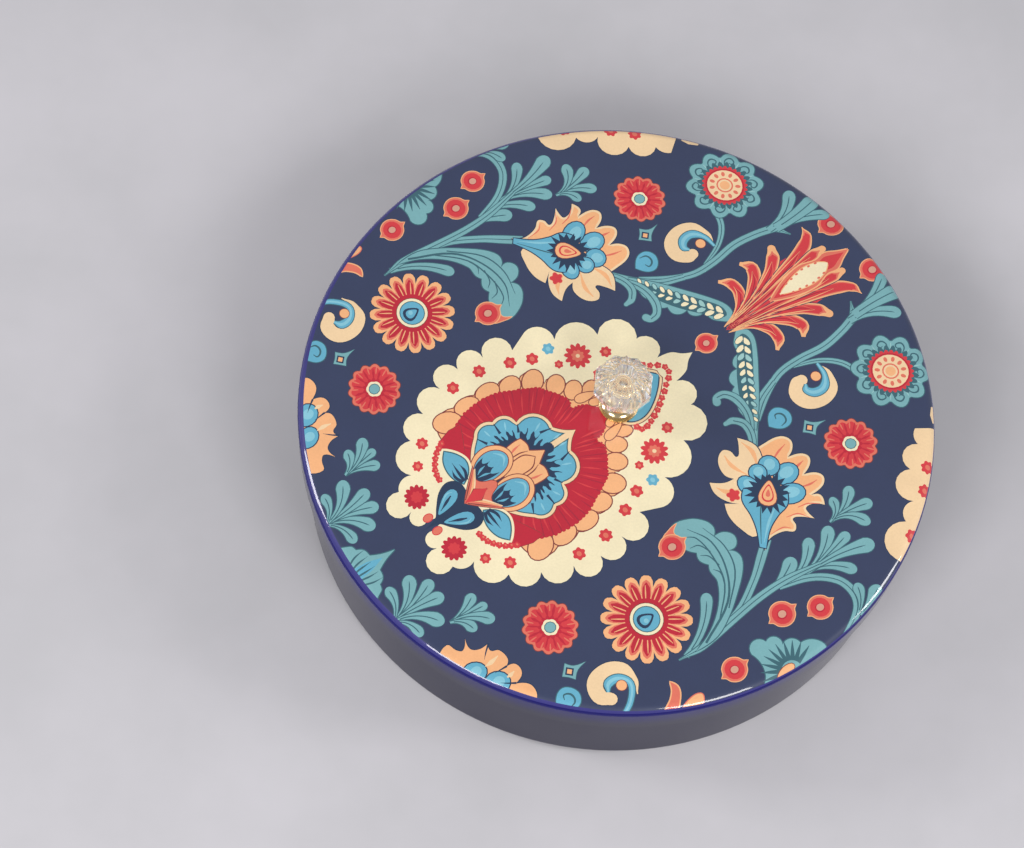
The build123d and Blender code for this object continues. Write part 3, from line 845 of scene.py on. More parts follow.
def draw_sprigs(art):
    """Loose sprigs of round leaves, the commas, the snails and the small diamonds."""
    for base, tips in (
        (
            (83.4, 35.4),
            (
                ((76.4, 50.4), 4.4, -0.24), ((86.4, 53.4), 4.6, 0.1), ((92.6, 47), 4.6, 0.4),
                ((76, 41.8), 3.8, -0.4),
            ),
        ),
        (
            (34, -101.6),
            (
                ((29.8, -88.4), 4.2, -0.16), ((36, -86.6), 3.4, 0.0), ((42.6, -88), 4.6, 0.24),
                ((42, -96), 4.2, 0.34),
            ),
        ),
        (
            (22, -118),
            (
                ((10.6, -103.4), 5.2, -0.26), ((16.8, -97.6), 4.8, -0.12), ((24.4, -97.4), 5, 0.08),
                ((33, -103.6), 5.4, 0.28), ((10, -112.6), 4.2, -0.3), ((32.4, -113), 4, 0.34),
            ),
        ),
    ):
        for tip, width, bend in tips:
            art.lobe(base, tip, width, bend)
    for shape, blue, dot in (
        (
            [
                (31, 72.6, 0.4), (36.6, 73.4, 2.2), (42, 70.2, 4.6), (43.2, 64.4, 5.4), (40.8, 59.4, 6),
                (36.4, 58, 6), (33, 61, 5.6), (32.7, 63.2, 4.4),
            ],
            [
                (30.6, 72.4, 1), (35.8, 71.8, 1.8), (39.6, 68.6, 3.2), (39.6, 64.4, 3.4), (37, 62.2, 2.8),
                (34.8, 63.4, 0.8),
            ],
            (34.5, 68.6),
        ),
        (
            [
                (94.4, -62.8, 0.4), (89.4, -60.4, 2.2), (83.6, -61.6, 4.6), (80.8, -66.8, 5.2),
                (82.2, -72.6, 5.8), (87, -74.4, 5.8), (90.4, -71.6, 4.6),
            ],
            [
                (98, -72, 1.6), (95, -66.4, 2), (89.8, -62.4, 2.2), (85.8, -64.8, 3), (85.2, -68.8, 3.2),
                (87.8, -71, 1),
            ],
            (88.5, -65.5),
        ),
    ):
        art.stroke("dark", [(x, y, w + 0.7) for x, y, w in shape], round_end=True)
        art.stroke("sand", shape, round_end=True)
        art.stroke("pine", [(x, y, w + 0.7) for x, y, w in blue])
        art.stroke("blue", blue)
        art.stroke("sky", [(x, y, w * 0.4) for x, y, w in blue])
        art.edged("peach", "brown", 0.25, oval(*dot, 1.9))
    for x, y in ((40, 46.4), (81.4, -84)):
        art.edged(
            "blue", "pine", 0.35,
            smooth([
                (x, y + 4.4), (x + 3.8, y + 2.6), (x + 4, y - 1.6), (x + 0.4, y - 5.4, 1),
                (x - 3.6, y - 2.2), (x - 4, y + 1.6),
            ]),
        )
        hook = [
            (x + 3, y - 1.4, 0.3), (x + 2.2, y + 1.4, 0.7), (x - 0.6, y + 1.8, 0.8), (x - 2, y - 0.4, 0.6),
            (x - 0.4, y - 1.4, 0.3),
        ]
        art.stroke("pine", hook)
    for x, y, tail in ((49.6, 53.2, 1.2), (73.6, -77.6, 0.4)):
        shape = smooth(
            [
                (x + tail, y + 7, 1), (x + 1.2, y + 2.8), (x + 3.6, y, 1), (x + 1.6, y - 1.4),
                (x, y - 3.2, 1), (x - 1.6, y - 1.4), (x - 3.4, y + 0.4, 1), (x - 0.8, y + 2.6),
            ],
            steps=3,
        )
        art.edged("teal", "pine", 0.25, shape)
        art.lay("dark", [(x, y + 2), (x + 2, y), (x, y - 2), (x - 2, y)])
        art.lay("peach", [(x, y + 1.2), (x + 1.2, y), (x, y - 1.2), (x - 1.2, y)])


def draw_rim(art):
    """What the lid's edge cuts through: a medallion, a teal flower, curls and a second flame flower."""
    edge = [(76.8, 91.6), (72.8, 85.7)]
    edge += scallops([
        (72.8, 85.7), (77.6, 82.4), (82, 84.2), (78.2, 75), (84.5, 73.5), (87, 64.4), (95, 66.2),
    ])
    edge += scallops([(95, 66.2), (95.4, 61), (99.6, 58.7), (99.6, 48.4), (110.8, 47.4)])[1:]
    art.edged("sand", "dark", 0.3, edge + [(126, 46), (110, 84), (90, 104)])
    art.lay("sand", [(69.5, 96.8), (72, 94), (75, 93), (78, 96), (72, 102)])
    for x, y in ((87.8, 79.4), (94.4, 72.4), (105.4, 57)):
        art.tiny_flower(x, y, 2.8)
    petals = scallops([
        (119.6, 4), (114.6, 1), (113.4, -3), (110.4, -4.4), (110.2, -8.8), (106.4, -9), (105.8, -13),
    ])
    petals += scallops([(105.8, -13), (103, -17), (106.6, -20.2), (112, -19.6), (118, -23)])[1:]
    art.edged("teal", "pine", 0.4, petals + [(128, -22), (128, 4)])
    for a in range(110, 262, 16):
        c, s = math.cos(math.radians(a)), math.sin(math.radians(a))
        art.stroke(
            "pine", [(120 + r * c, -12 + r * s, w) for r, w in ((4, 1.8), (8, 1.2), (11.6, 0.15))], steps=2,
        )
    art.edged("peach", "brown", 0.3, oval(119, -14, 2, 4, 10))
    for spot in ((12, 115.4, 4.7), (107, 11.4, 4.4), (101, -1.6, 4.6), (107.4, -28.8, 4.4)):
        art.bud(*spot)
    curl = smooth([
        (97.6, -50.6, 1), (101, -49.4), (105, -52), (108.6, -57), (107, -60), (104.6, -57.6), (103, -54.6),
        (100.6, -52),
    ])
    art.edged("coral", "peach", 0.5, curl)
    art.edged(
        "peach", "coral", 0.4, smooth([(107.4, -44.2), (110, -45), (112, -49), (109, -53), (106.8, -49)]),
    )
    flame = smooth(
        [
            (43, -113), (40.2, -107.6), (43.6, -106), (45.2, -104), (42, -100.8, 1), (46.2, -101.6),
            (48.2, -99), (48.3, -95.3, 1), (51, -96), (52.6, -93.4), (57, -92.8), (59, -95, 1),
            (60.2, -91.6), (64.2, -91.8), (66, -96, 1), (69, -92), (73, -91.8), (75, -94), (70, -106),
            (54, -116),
        ],
        steps=4,
    )
    art.edged("peach", "dark", 0.4, flame)
    for x, y, rx, ry in ((54.2, -105.4, 3.6, 4.4), (62, -101, 4, 4.6)):
        art.edged("blue", "dark", 0.45, oval(x, y, rx, ry, -20))
        art.lay("sky", oval(x, y + 0.6, rx * 0.5, ry * 0.5))
    for x, y in ((48.3, -95.3), (59, -95), (66, -96)):
        art.stroke(
            "dark",
            [
                (x, y + 0.4, 0.8), (*between((x, y), (58, -106), 0.2), 0.5),
                (*between((x, y), (58, -106), 0.42), 0.1),
            ],
        )
    for line in (
        [(54, -95, 0.4), (54.6, -98.4, 1.6), (54.6, -101, 0.4)],
        [(62, -93.6, 0.4), (62.4, -95.6, 1.5), (62.4, -97, 0.5)],
    ):
        art.stroke("sand", line)
    top = smooth([
        (AXIS, -101.6, 1), (1, -106.4), (3, -110.6, 1), (6, -111.4), (7.6, -113.8, 1), (10, -115),
        (12, -124), (AXIS, -124),
    ])
    art.edged("teal", "pine", 0.4, top)
    art.lay("blue", [(AXIS, -107), (1.6, -113), (2.6, -124), (AXIS, -124)])
    for x in (0.8, 3.2, 6):
        art.stroke("pine", [(x * 0.5, -121, 0.8), (x * 0.9, -116, 0.7), (x, -111.4, 0.1)])


def draw_print(seed):
    """The whole print, as shapes in painter's order."""
    art = Artwork(seed)
    draw_rim(art)
    draw_left_stem(art)
    draw_seeded_leaf(art)
    draw_right_spray(art)
    draw_sprigs(art)
    draw_flame_flower(art)
    draw_daisy(art, 49.3, 93.4)
    draw_rosette(art, 74, -43)
    draw_zinnia(art, 63.6, 61.8)
    draw_zinnia(art, 56.3, -73.3)
    draw_palmette(art)
    draw_medallion(art)
    return art.shapes


def from_axis(tree, spot, centre=(0, 0, 0)):
    """Distance from the upright axis through centre, the height, and the coordinates counted from centre."""
    moved = add(tree, "ShaderNodeVectorMath", {0: spot, 1: centre}, operation="SUBTRACT")
    parts = add(tree, "ShaderNodeSeparateXYZ", {0: moved})
    flat = add(tree, "ShaderNodeCombineXYZ", {0: parts.outputs[0], 1: parts.outputs[1]})
    return add(tree, "ShaderNodeVectorMath", {0: flat}, operation="LENGTH"), parts.outputs[2], moved


def lathe_marks(tree, radius, height, per_metre, detail):
    """Fine rings round the axis, as turning, spinning and drawing leave them on faces and walls."""
    along = add(tree, "ShaderNodeMath", {0: radius, 1: height}, operation="ADD")
    marks = {"W": along, "Scale": per_metre, "Detail": detail}
    return add(tree, "ShaderNodeTexNoise", marks, noise_dimensions="1D")


def outer_skin(tree, radius, height, corner, up, reach):
    """1 on the outside of a drawn shell: as far as reach from the middle of its round corner, or further,
    with a short soft step."""
    total = 0.0
    for value, start, side in ((radius, corner[0], 1.0), (height, corner[1], up)):
        past = add(tree, "ShaderNodeMath", {0: value, 1: start}, operation="SUBTRACT")
        past = add(tree, "ShaderNodeMath", {0: past, 1: side}, operation="MULTIPLY")
        past = add(tree, "ShaderNodeMath", {0: past, 1: 0.0}, operation="MAXIMUM")
        total = add(tree, "ShaderNodeMath", {0: past, 1: past, 2: total}, operation="MULTIPLY_ADD")
    far = add(tree, "ShaderNodeMath", {0: total}, operation="SQRT")
    step = {"Value": far, "From Min": reach - 0.05 * MM, "From Max": reach + 0.05 * MM}
    return add(tree, "ShaderNodeMapRange", step, interpolation_type="SMOOTHSTEP")


def enamel_material(name, colour, skin, gloss, shade_fade_to=None):
    """Baked enamel on drawn steel: a smooth glossy coat outside, and the bare brushed sheet inside. skin is
    the corner, its side and the reach that outer_skin takes, and shade_fade_to a darker colour painted in
    downwards as shade."""
    material, tree, spot = new_material(name)
    blotches = {"Vector": spot, "Scale": 1 / (40 * MM), "Detail": 2, "Roughness": 0.55}
    cloud = add(tree, "ShaderNodeTexNoise", blotches)
    shades = {"Factor": cloud, 6: linear(hex_of(colour, -0.01)), 7: linear(hex_of(colour, 0.015))}
    paint = add(tree, "ShaderNodeMix", shades, data_type="RGBA")
    radius, height, _ = from_axis(tree, spot)
    if shade_fade_to:
        # Painted shade: the enamel goes over to a darker colour downwards, for the shadowed floor that the
        # lower skirt reflects.
        heights = {"Value": height, "From Min": SHADE_FADE_END, "From Max": SHADE_FADE_START}
        share = add(tree, "ShaderNodeMapRange", heights, interpolation_type="SMOOTHSTEP")
        shades = {"Factor": share, 6: linear(hex_of(shade_fade_to)), 7: paint}
        paint = add(tree, "ShaderNodeMix", shades, data_type="RGBA")
    outside = outer_skin(tree, radius, height, *skin)
    rings = lathe_marks(tree, radius, height, 2200, 3)
    shades = {"Factor": rings, 6: linear("a9a7a4"), 7: linear("d2d0cc")}
    steel = add(tree, "ShaderNodeMix", shades, data_type="RGBA")
    bare_rough, enamel_rough = 0.34, 0.12
    rough = {0: outside, 1: enamel_rough - bare_rough, 2: bare_rough}
    peel = {"Vector": spot, "Scale": 1 / (2.5 * MM), "Detail": 1, "Roughness": 0.55}
    ripple = {"Height": add(tree, "ShaderNodeTexNoise", peel), "Distance": 0.006 * MM}
    looks = {
        "Base Color": add(tree, "ShaderNodeMix", {"Factor": outside, 6: steel, 7: paint}, data_type="RGBA"),
        "Metallic": add(tree, "ShaderNodeMath", {0: 1.0, 1: outside}, operation="SUBTRACT"),
        "Roughness": add(tree, "ShaderNodeMath", rough, operation="MULTIPLY_ADD"),
        "IOR": 1.5,
        "Specular IOR Level": 0.08,
        "Coat Weight": gloss,
        "Coat Roughness": 0.03,
        "Normal": add(tree, "ShaderNodeBump", ripple),
    }
    add(tree, "ShaderNodeOutputMaterial", {"Surface": add(tree, "ShaderNodeBsdfPrincipled", looks)})
    return material


def ink_material():
    """Screen print on lacquered steel under a clear baked varnish: mottled inks below a wet gloss."""
    material, tree, spot = new_material("Screen print under clear varnish")
    ink = add(tree, "ShaderNodeAttribute", attribute_name="ink").outputs["Color"]
    mottle = []
    for size, roughness, low, high in ((14, 0.5, 0.965, 1.03), (0.8, 0.6, 0.97, 1.03)):
        blotches = {"Vector": spot, "Scale": 1 / (size * MM), "Detail": 3, "Roughness": roughness}
        noise = add(tree, "ShaderNodeTexNoise", blotches)
        span = {"Value": noise, "From Min": NOISE_LOW, "From Max": NOISE_HIGH, "To Min": low, "To Max": high}
        mottle.append(add(tree, "ShaderNodeMapRange", span, interpolation_type="SMOOTHSTEP"))
    both = add(tree, "ShaderNodeMath", {0: mottle[0], 1: mottle[1]}, operation="MULTIPLY")
    flow = {"Vector": spot, "Scale": 1 / (9 * MM), "Detail": 2, "Roughness": 0.5}
    ripple = {"Height": add(tree, "ShaderNodeTexNoise", flow), "Distance": 0.012 * MM}
    looks = {
        "Base Color": add(tree, "ShaderNodeVectorMath", {0: ink, 3: both}, operation="SCALE"),
        "Roughness": 0.42,
        "Specular IOR Level": 0.3,
        "Coat Weight": 1.0,
        "Coat Roughness": 0.03,
        "Coat IOR": 1.58,
        "Coat Normal": add(tree, "ShaderNodeBump", ripple),
    }
    add(tree, "ShaderNodeOutputMaterial", {"Surface": add(tree, "ShaderNodeBsdfPrincipled", looks)})
    return material


def glass_material():
    """Cut crystal, polished: clear, with bright facet edges and the faintest haze."""
    material, tree, spot = new_material("Polished cut crystal")
    blotches = {"Vector": spot, "Scale": 1 / (3 * MM), "Detail": 3, "Roughness": 0.55}
    noise = add(tree, "ShaderNodeTexNoise", blotches)
    span = {"Value": noise, "From Min": 0.4, "From Max": 0.8, "To Min": 0.0, "To Max": 0.02}
    looks = {
        "Base Color": (1, 1, 1, 1),
        "Roughness": add(tree, "ShaderNodeMapRange", span, interpolation_type="SMOOTHSTEP"),
        "IOR": 1.54,
        "Transmission Weight": 0.93,
    }
    add(tree, "ShaderNodeOutputMaterial", {"Surface": add(tree, "ShaderNodeBsdfPrincipled", looks)})
    return material


def metal_material(name, rings, depth_mm, smear_mm, hexes, rough, follows_marks):
    """A bare metal. rings makes its fine marks from the tree and its coordinates, smear_mm is the size of its
    dull patches, and its colour follows either the marks or the patches."""
    material, tree, spot = new_material(name)
    marks = rings(tree, spot)
    patches = {"Vector": spot, "Scale": 1 / (smear_mm * MM), "Detail": 3, "Roughness": 0.55}
    smear = add(tree, "ShaderNodeTexNoise", patches)
    shades = {"Factor": marks if follows_marks else smear, 6: linear(hexes[0]), 7: linear(hexes[1])}
    low, high = rough
    span = {"Value": smear, "From Min": NOISE_LOW, "From Max": NOISE_HIGH, "To Min": low, "To Max": high}
    looks = {
        "Base Color": add(tree, "ShaderNodeMix", shades, data_type="RGBA"),
        "Metallic": 1.0,
        "Roughness": add(tree, "ShaderNodeMapRange", span, interpolation_type="SMOOTHSTEP"),
        "Normal": add(tree, "ShaderNodeBump", {"Height": marks, "Distance": depth_mm * MM}),
    }
    add(tree, "ShaderNodeOutputMaterial", {"Surface": add(tree, "ShaderNodeBsdfPrincipled", looks)})
    return material


def brass_material():
    """Turned and polished brass: warm metal with fine rings from the lathe."""

    def rings(tree, spot):
        # Lathe marks every 0.25 mm, coarser than the real ones, so that they show.
        return lathe_marks(tree, *from_axis(tree, spot)[:2], 4000, 2)

    return metal_material("Turned polished brass", rings, 0.01, 4, ("dfc08a", "f4e0b8"), (0.1, 0.2), False)


def steel_material(name, centre, length_wise=False):
    """Spun and brushed stainless steel: fine marks that run round the cup, or along the spoon."""

    def rings(tree, spot):
        radius, height, moved = from_axis(tree, spot, centre)
        if not length_wise:
            return lathe_marks(tree, radius, height, 3000, 3)
        # Scratches a quarter of a millimetre apart and 8 mm long.
        marks = add(tree, "ShaderNodeMapping", {"Vector": moved, "Scale": (4000, 120, 120)})
        return add(tree, "ShaderNodeTexNoise", {"Vector": marks, "Scale": 1.0, "Detail": 3})

    return metal_material(name, rings, 0.012, 12, ("b4b3b1", "dddbd8"), (0.2, 0.32), True)


class SpiceBoxSizes(bpy.types.PropertyGroup):
    """Sizes of the print and the stage. Everything else has its size from the CAD frame."""

    lid_radius: FloatProperty(
        name="Lid radius", description="Outer radius of the lid", default=0.120, unit="LENGTH"
    )
    lid_top: FloatProperty(
        name="Lid top", description="Height of the bare lid's flat top", default=0.060, unit="LENGTH"
    )
    shoulder: FloatProperty(
        name="Shoulder radius",
        description="Outer radius of the lid's rounded edge",
        default=0.0035,
        unit="LENGTH",
    )
    film: FloatProperty(
        name="Print thickness", description="Ink and varnish together", default=0.00015, unit="LENGTH"
    )
    film_edge: FloatProperty(
        name="Print edge",
        description="How far the print wraps the shoulder, from the top",
        default=math.radians(55),
        subtype="ANGLE",
    )
    hole: FloatProperty(
        name="Hole radius", description="Hole for the knob's screw", default=0.0022, unit="LENGTH"
    )
    print_turn: FloatProperty(
        name="Print turn",
        description="Turn of the print on the lid",
        default=math.radians(-46.994),
        subtype="ANGLE",
    )
    print_shift: FloatProperty(
        name="Print shift", description="How far the pattern sits off centre", default=0.0009, unit="LENGTH"
    )
    print_radius: FloatProperty(
        name="Print radius", description="Radius of the printed disc", default=0.1187, unit="LENGTH"
    )
    seed: IntProperty(name="Brush seed", description="Seed of the brush's unevenness", default=7)
    floor: FloatProperty(
        name="Floor", description="Length of one side of the floor", default=9.0, unit="LENGTH"
    )


class SpiceBoxColours(bpy.types.PropertyGroup):
    """Colours that a user would change, as sRGB values."""

    tub: FloatVectorProperty(
        name="Tub enamel", description="Dark slate of the tub", size=3, min=0, max=1,
        default=(0.17, 0.17, 0.25),
    )
    skirt: FloatVectorProperty(
        name="Lid enamel", description="Cobalt of the lid", size=3, min=0, max=1,
        default=(0.11, 0.105, 0.40),
    )
    floor: FloatVectorProperty(
        name="Floor", description="Pale grey of the floor", size=3, min=0, max=1,
        default=(0.77, 0.765, 0.785),
    )


class SPICEBOX_OT_stage(bpy.types.Operator):
    """Adds the floor, the soft lamps and the camera"""

    bl_idname = "spicebox.stage"
    bl_label = "Stage"

    def execute(self, context):
        scene = context.scene
        scene.view_settings.view_transform = "Standard"
        # Light turns round many times in cut crystal.
        scene.cycles.max_bounces, scene.cycles.glossy_bounces, scene.cycles.transmission_bounces = 20, 16, 16
        bm = bmesh.new()
        bmesh.ops.create_grid(bm, x_segments=2, y_segments=2, size=scene.spicebox_sizes.floor / 2)
        floor = new_piece("floor", bm, self.plaster(scene.spicebox_colours.floor))
        self.add_world(scene)
        self.add_lamps(scene)
        self.add_camera(scene)
        return {"FINISHED"}

    def plaster(self, colour):
        """Trowelled plaster: dull and pale, with soft clouds where the trowel passed."""
        material, tree, spot = new_material("Trowelled plaster")
        blotches = {"Vector": spot, "Scale": 1 / (180 * MM), "Detail": 5, "Roughness": 0.6}
        cloud = add(tree, "ShaderNodeTexNoise", blotches)
        span = {"Value": cloud, "From Min": NOISE_LOW, "From Max": NOISE_HIGH}
        share = add(tree, "ShaderNodeMapRange", span, interpolation_type="SMOOTHSTEP")
        shades = {"Factor": share, 6: linear(hex_of(colour, -0.03)), 7: linear(hex_of(colour, 0.015))}
        shade = add(tree, "ShaderNodeMix", shades, data_type="RGBA")
        looks = {"Base Color": shade, "Roughness": 0.62, "Specular IOR Level": 0.25}
        add(tree, "ShaderNodeOutputMaterial", {"Surface": add(tree, "ShaderNodeBsdfPrincipled", looks)})
        return material

    def add_world(self, scene):
        """A pale room, which lights less than it shows to the camera and through glass."""
        scene.world = bpy.data.worlds.new("studio")
        scene.world.use_nodes = True
        tree = scene.world.node_tree
        tree.nodes.clear()
        path = add(tree, "ShaderNodeLightPath").outputs
        rays = {0: path["Is Camera Ray"], 1: path["Is Transmission Ray"]}
        seen = add(tree, "ShaderNodeMath", rays, operation="MAXIMUM")
        strength = add(tree, "ShaderNodeMapRange", {"Value": seen, "To Min": 0.40, "To Max": 1.0})
        sky = add(tree, "ShaderNodeBackground", {"Color": (0.955, 0.965, 1.0, 1), "Strength": strength})
        add(tree, "ShaderNodeOutputWorld", {"Surface": sky})

    def add_lamps(self, scene):
        """Two boxes in front and two at the sides, where the shoulder of the lid shows their streaks."""
        for name, spot, width, height, power in LAMPS:
            lamp = bpy.data.lights.new(name, "AREA")
            lamp.shape = "RECTANGLE"
            lamp.size, lamp.size_y, lamp.energy = width, height, power
            lamp.color = (1.0, 0.985, 0.96)
            holder = bpy.data.objects.new(name, lamp)
            holder.location = spot
            holder.rotation_euler = (Vector(LAMP_TARGET) - Vector(spot)).to_track_quat("-Z", "Y").to_euler()
            scene.collection.objects.link(holder)

    def add_camera(self, scene):
        """The camera looks down at 66 degrees, a little rolled, from 0.95 m."""
        ahead = Vector((0, math.cos(CAMERA_DOWN), -math.sin(CAMERA_DOWN)))
        side = Vector((1, 0, 0))
        up = Vector((0, math.sin(CAMERA_DOWN), math.cos(CAMERA_DOWN)))
        x = math.cos(CAMERA_ROLL) * side + math.sin(CAMERA_ROLL) * up
        y = -math.sin(CAMERA_ROLL) * side + math.cos(CAMERA_ROLL) * up
        lens = bpy.data.cameras.new("camera")
        lens.lens, lens.sensor_width, lens.clip_start = CAMERA_LENS, CAMERA_SENSOR, 0.01
        camera = bpy.data.objects.new("camera", lens)
        turn = Matrix((x, y, -ahead)).transposed().to_4x4()
        camera.matrix_world = Matrix.Translation(CAMERA_SPOT) @ turn
        scene.collection.objects.link(camera)
        scene.camera = camera


class SPICEBOX_OT_tub(bpy.types.Operator):
    """Gives the tub its dark enamel outside and its bare steel inside"""

    bl_idname = "spicebox.tub"
    bl_label = "Tub"

    def execute(self, context):
        colour = context.scene.spicebox_colours.tub
        skin = ((TUB_RADIUS - TUB_CORNER, TUB_CORNER), -1.0, TUB_CORNER - SHEET / 2)
        dress("tub_shell", enamel_material("Baked slate enamel on steel", colour, skin, 0.04))
        return {"FINISHED"}


class SPICEBOX_OT_lid(bpy.types.Operator):
    """Gives the lid its cobalt enamel outside and its bare steel inside"""

    bl_idname = "spicebox.lid"
    bl_label = "Lid"

    def execute(self, context):
        sizes, colours = context.scene.spicebox_sizes, context.scene.spicebox_colours
        corner = (sizes.lid_radius - sizes.shoulder, sizes.lid_top - sizes.shoulder)
        skin = (corner, 1.0, sizes.shoulder - SHEET / 2)
        # The tub's slate is painted low on the lid's skirt as shade.
        enamel = enamel_material("Baked cobalt enamel, shade painted low", colours.skirt, skin, 0.1, colours.tub)
        dress("lid_shell", enamel)
        return {"FINISHED"}


class SPICEBOX_OT_print(bpy.types.Operator):
    """Lays the printed film on the lid as a mosaic of inks, draped over the shoulder"""

    bl_idname = "spicebox.print"
    bl_label = "Lid print"

    def execute(self, context):
        sizes = context.scene.spicebox_sizes
        shoulder = sizes.shoulder + sizes.film
        centre_r, centre_z = sizes.lid_radius - sizes.shoulder, sizes.lid_top - sizes.shoulder
        # From here to the mosaic, lengths on the sheet are in mm.
        flat, hole = centre_r / MM, sizes.hole / MM
        reach = (centre_r + shoulder * sizes.film_edge) / MM
        c, s = math.cos(sizes.print_turn), math.sin(sizes.print_turn)
        shift, radius = sizes.print_shift / MM, sizes.print_radius / MM

        def draped(x, y):
            """A point of the flat sheet as it lies on the lid: flat, then over the shoulder by its length."""
            far = math.hypot(x, y)
            if far * MM <= centre_r:
                return Vector((x * MM, y * MM, centre_z + shoulder))
            angle = (far * MM - centre_r) / shoulder
            r = (centre_r + shoulder * math.sin(angle)) / far
            return Vector((x * r, y * r, centre_z + shoulder * math.cos(angle)))

        points, lines = [], []

        def trace(corners):
            """Adds an outline that the mosaic's triangles must follow."""
            start, count = len(points), len(corners)
            points.extend(corners)
            lines.extend((start + i, start + (i + 1) % count) for i in range(count))

        for k in range(SHOULDER_RINGS + 1):
            trace(oval(0, 0, flat + (reach - flat) * k / SHOULDER_RINGS, steps=ROUND_STEPS))
        trace(oval(0, 0, hole, steps=HOLE_STEPS))
        sheet = oval(DISC_MIDDLE, 0, radius, steps=ROUND_STEPS)
        trace(sheet)
        shapes = [("ground", sheet)]
        for ink, corners in draw_print(sizes.seed):
            spots = [((x - shift) * c - y * s, (x - shift) * s + y * c) for x, y in corners]
            area = signed_area(spots)
            if abs(area) < 1e-3 or all(math.hypot(*p) > reach for p in spots):
                continue
            if area < 0:
                spots.reverse()
            trace(spots)
            shapes.append((ink, spots))
        corners, _, pieces, _, _, _ = delaunay_2d_cdt([Vector(p) for p in points], lines, [], 0, 1e-5, True)
        bm = bmesh.new()
        colour = bm.loops.layers.float_color.new("ink")
        light = {name: linear(value) for name, value in INKS.items()}
        verts = [bm.verts.new(draped(*p)) for p in corners]
        for piece, ink in zip(pieces, self.inks_of(corners, pieces, shapes, radius)):
            x = sum(corners[i][0] for i in piece) / 3
            y = sum(corners[i][1] for i in piece) / 3
            if not hole < math.hypot(x, y) < reach:
                continue
            face = bm.faces.new([verts[i] for i in piece])
            face.smooth = True
            for loop in face.loops:
                loop[colour] = light[ink]
        bmesh.ops.delete(bm, geom=[v for v in bm.verts if not v.link_faces], context="VERTS")
        self.close_underside(bm, sizes, centre_r, centre_z)
        film = new_piece("lid_print", bm, ink_material())
        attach(film, "lid")
        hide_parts("lid_printed_film")
        return {"FINISHED"}

    def inks_of(self, corners, pieces, shapes, radius):
        """The ink of each triangle: that of the last shape round its middle, and the rim's off the sheet."""
        spots = np.array([tuple(p) for p in corners])[np.array(pieces)].mean(axis=1)
        names = ["rim"] + [ink for ink, _ in shapes]
        order = np.argsort(spots[:, 0])
        spots = spots[order]
        top = np.zeros(len(spots), int)
        for k, (_, outline) in enumerate(shapes, 1):
            a = np.array(outline)
            b = np.roll(a, -1, axis=0)
            low, high = a.min(axis=0), a.max(axis=0)
            first, last = np.searchsorted(spots[:, 0], (low[0], high[0]))
            height = spots[first:last, 1]
            near = first + np.flatnonzero((height > low[1]) & (height < high[1]))
            if not len(near):
                continue
            # How often the outline goes round each middle, from where it crosses the level of the middle.
            x, y = spots[near, 0][:, None], spots[near, 1][:, None]
            side = (b[:, 0] - a[:, 0]) * (y - a[:, 1]) - (b[:, 1] - a[:, 1]) * (x - a[:, 0])
            up = (a[:, 1] <= y) & (b[:, 1] > y) & (side > 0)
            down = (a[:, 1] > y) & (b[:, 1] <= y) & (side < 0)
            top[near[(up.sum(axis=1) - down.sum(axis=1)) > 0]] = k
        top[np.hypot(spots[:, 0] - DISC_MIDDLE, spots[:, 1]) > radius] = 0
        inks = [None] * len(top)
        for row, k in zip(order, top):
            inks[row] = names[k]
        return inks

    def close_underside(self, bm, sizes, centre_r, centre_z):
        """Closes the sheet to a film: its rim goes down onto the enamel and back to the hole below."""
        border = [e for e in bm.edges if e.is_boundary]
        outer = [e for e in border if e.verts[0].co.xy.length > centre_r / 2]
        inner = [e for e in border if e.verts[0].co.xy.length <= centre_r / 2]
        for e in border:
            e.smooth = False

        def on_enamel(co, angle):
            way, r = co.xy.normalized(), centre_r + sizes.shoulder * math.sin(angle)
            return (way.x * r, way.y * r, centre_z + sizes.shoulder * math.cos(angle))

        for k in range(SHOULDER_RINGS + 1):
            angle = sizes.film_edge * (1 - k / SHOULDER_RINGS)
            outer = extrude_ring(bm, outer, lambda co: on_enamel(co, angle))
        inner = extrude_ring(bm, inner, lambda co: (co.x, co.y, co.z - sizes.film))
        bmesh.ops.triangle_fill(bm, edges=outer + inner, use_beauty=True, use_dissolve=False)
        bmesh.ops.recalc_face_normals(bm, faces=bm.faces)


